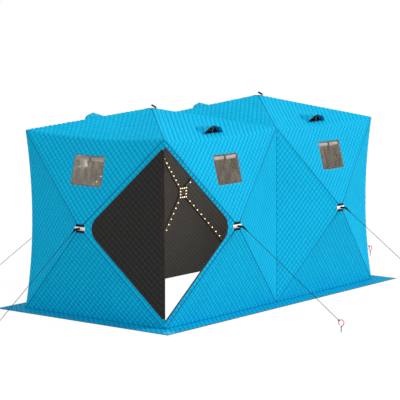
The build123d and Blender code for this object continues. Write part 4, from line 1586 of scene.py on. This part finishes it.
long_sides = [((-CELL, y), (CELL, y)) for y in (-HALF_WIDTH, HALF_WIDTH)]
end_sides = [((x, -HALF_WIDTH), (x, HALF_WIDTH)) for x in (-CELL, CELL)]
skirts("long_skirt_cloth", "long_skirts", long_sides, 2.0)
skirts("end_skirt_cloth", "end_skirts", end_sides, 7.0)

# Light string on the poles of the back wall

WIRE, WIRE_SQUARE, WIRE_REACH = 0.0015, 0.074, 0.86
BULB_STEP = 0.080
wire_shape = Shape()


def wire_point(bay, index, distance):
    """A point beside a pole, on its inner side, that far from the hub."""
    start = pole_start(bay)
    direction = unit(cup_centre(bay, index) - start)
    inward = -bay.out - direction * (-bay.out @ direction)
    return start + direction * distance + unit(inward) * (POLE_RADIUS + WIRE + 0.0003)


def add_bulb(spot, inward):
    """A small bulb in its holder."""
    holder = [(0, -0.002), (0.0024, -0.002), (0.0024, 0.003), (0.0016, 0.004), (0, 0.004)]
    lathe(wire_shape, spot, inward, holder, 8)
    glass = [(0, 0.003), (0.0034, 0.0034), (0.0055, 0.006), (0.0063, 0.010), (0.0052, 0.014), (0.003, 0.0165)]
    lathe(wire_shape, spot, inward, [*glass, (0, 0.0175)], 10, 1)


def add_wire(bay, ends):
    sweep(wire_shape, resample(ends, 0.012), circle(WIRE * 0.9, 6), bay.out)


for bay in (back_left, back_right):
    square = [wire_point(bay, index, WIRE_SQUARE) for index in range(4)]
    for index, corner in enumerate(square):
        reach = np.linalg.norm(cup_centre(bay, index) - pole_start(bay)) * WIRE_REACH
        end = wire_point(bay, index, reach)
        add_wire(bay, [corner, end])
        count = int(round((reach - WIRE_SQUARE) / BULB_STEP))
        for k in range(1, count + 1):
            add_bulb(corner + (end - corner) * min(0.995, k / count), -bay.out)
        following = square[(index + 1) % 4]
        add_wire(bay, [corner, following])
        for k in range(3):
            add_bulb(corner + (following - corner) * k / 3, -bay.out)
wire_shape.build("light_string_wire", [wire_material, bulb], "wire", ["light_string"], angle=50)

# The poles keep their CAD shape
for node in ("wall_poles", "roof_poles"):
    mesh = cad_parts[node].data
    mesh.materials.clear()
    mesh.materials.append(pole_material)

# Camera, floor, world and lamps

PHOTO_PIXELS = 400
FOCAL_PIXELS = 1745.768
CAMERA_PLACE = (-14.291244, -11.096895, 3.230911)
CAMERA_PITCH, CAMERA_TURN = -0.1235978, -0.9067746
FLOOR, FLOOR_DROP = 40.0, 0.001
FLOOR_GLOW, FLOOR_GLOW_SHARE = 1.08, 0.88
SKY_LIGHT, SKY_SEEN = 0.52, 1.0
INSIDE_LIGHTS = [(-0.9, -0.1, 1.0), (0.9, -0.1, 1.0)]


def put(name, data, place=(0, 0, 0)):
    thing = bpy.data.objects.new(name, data)
    bpy.context.scene.collection.objects.link(thing)
    thing.location = place
    return thing


camera = bpy.data.cameras.new("camera")
camera.sensor_width = 36
camera.lens = camera.sensor_width * FOCAL_PIXELS / PHOTO_PIXELS
camera.clip_end = 100
camera_object = put("camera", camera, CAMERA_PLACE)
camera_object.rotation_euler = (math.pi / 2 + CAMERA_PITCH, 0, CAMERA_TURN)
bpy.context.scene.camera = camera_object

floor_make = Nodes("floor")
floor_make.finish((0.5, 0.5, 0.5), 0.9)
glow = floor_make.add("ShaderNodeEmission")
glow.inputs["Strength"].default_value = FLOOR_GLOW
path = floor_make.add("ShaderNodeLightPath")
seen = floor_make.math("MAXIMUM", path.outputs["Is Camera Ray"], path.outputs["Is Glossy Ray"])
seen = floor_make.math("MAXIMUM", seen, path.outputs["Is Transmission Ray"])
blend = floor_make.add("ShaderNodeMixShader")
floor_make.link(floor_make.math("MULTIPLY", seen, FLOOR_GLOW_SHARE), blend.inputs[0])
floor_make.link(floor_make.shader.outputs[0], blend.inputs[1])
floor_make.link(glow.outputs[0], blend.inputs[2])
floor_make.link(blend.outputs[0], floor_make.tree.nodes["Material Output"].inputs[0])
floor_mesh = bpy.data.meshes.new("floor")
floor_plan = [(-FLOOR, -FLOOR), (FLOOR, -FLOOR), (FLOOR, FLOOR), (-FLOOR, FLOOR)]
floor_mesh.from_pydata([(x, y, -FLOOR_DROP) for x, y in floor_plan], [], [(0, 1, 2, 3)])
floor_mesh.materials.append(floor_make.material)
put("floor", floor_mesh)

world = bpy.data.worlds.new("world")
bpy.context.scene.world = world
world.use_nodes = True
tree = world.node_tree
path = tree.nodes.new("ShaderNodeLightPath")
seen = tree.nodes.new("ShaderNodeMath")
seen.operation = "MAXIMUM"
level = tree.nodes.new("ShaderNodeMapRange")
level.inputs[3].default_value = SKY_LIGHT
level.inputs[4].default_value = SKY_SEEN
background = tree.nodes["Background"]
background.inputs["Color"].default_value = (1, 1, 1, 1)
for out, into in (
    (path.outputs["Is Camera Ray"], seen.inputs[0]),
    (path.outputs["Is Transmission Ray"], seen.inputs[1]),
    (seen.outputs[0], level.inputs[0]),
    (level.outputs[0], background.inputs["Strength"]),
):
    tree.links.new(out, into)


def sun(name, towards, energy, angle):
    light = bpy.data.lights.new(name, "SUN")
    light.energy = energy
    light.angle = math.radians(angle)
    put(name, light).rotation_euler = Vector(towards).to_track_quat("Z", "Y").to_euler()


sun("key", (0.5, -0.71, 0.5), 2.68, 12)
sun("fill", (-0.73, -0.18, 0.66), 1.35, 40)

for number, place in enumerate(INSIDE_LIGHTS):
    light = bpy.data.lights.new(f"inside_{number}", "POINT")
    light.energy = 88
    light.color = (1.0, 0.94, 0.86)
    light.shadow_soft_size = 0.3
    put(f"inside_{number}", light, place)

bpy.context.scene.view_settings.view_transform = "Standard"
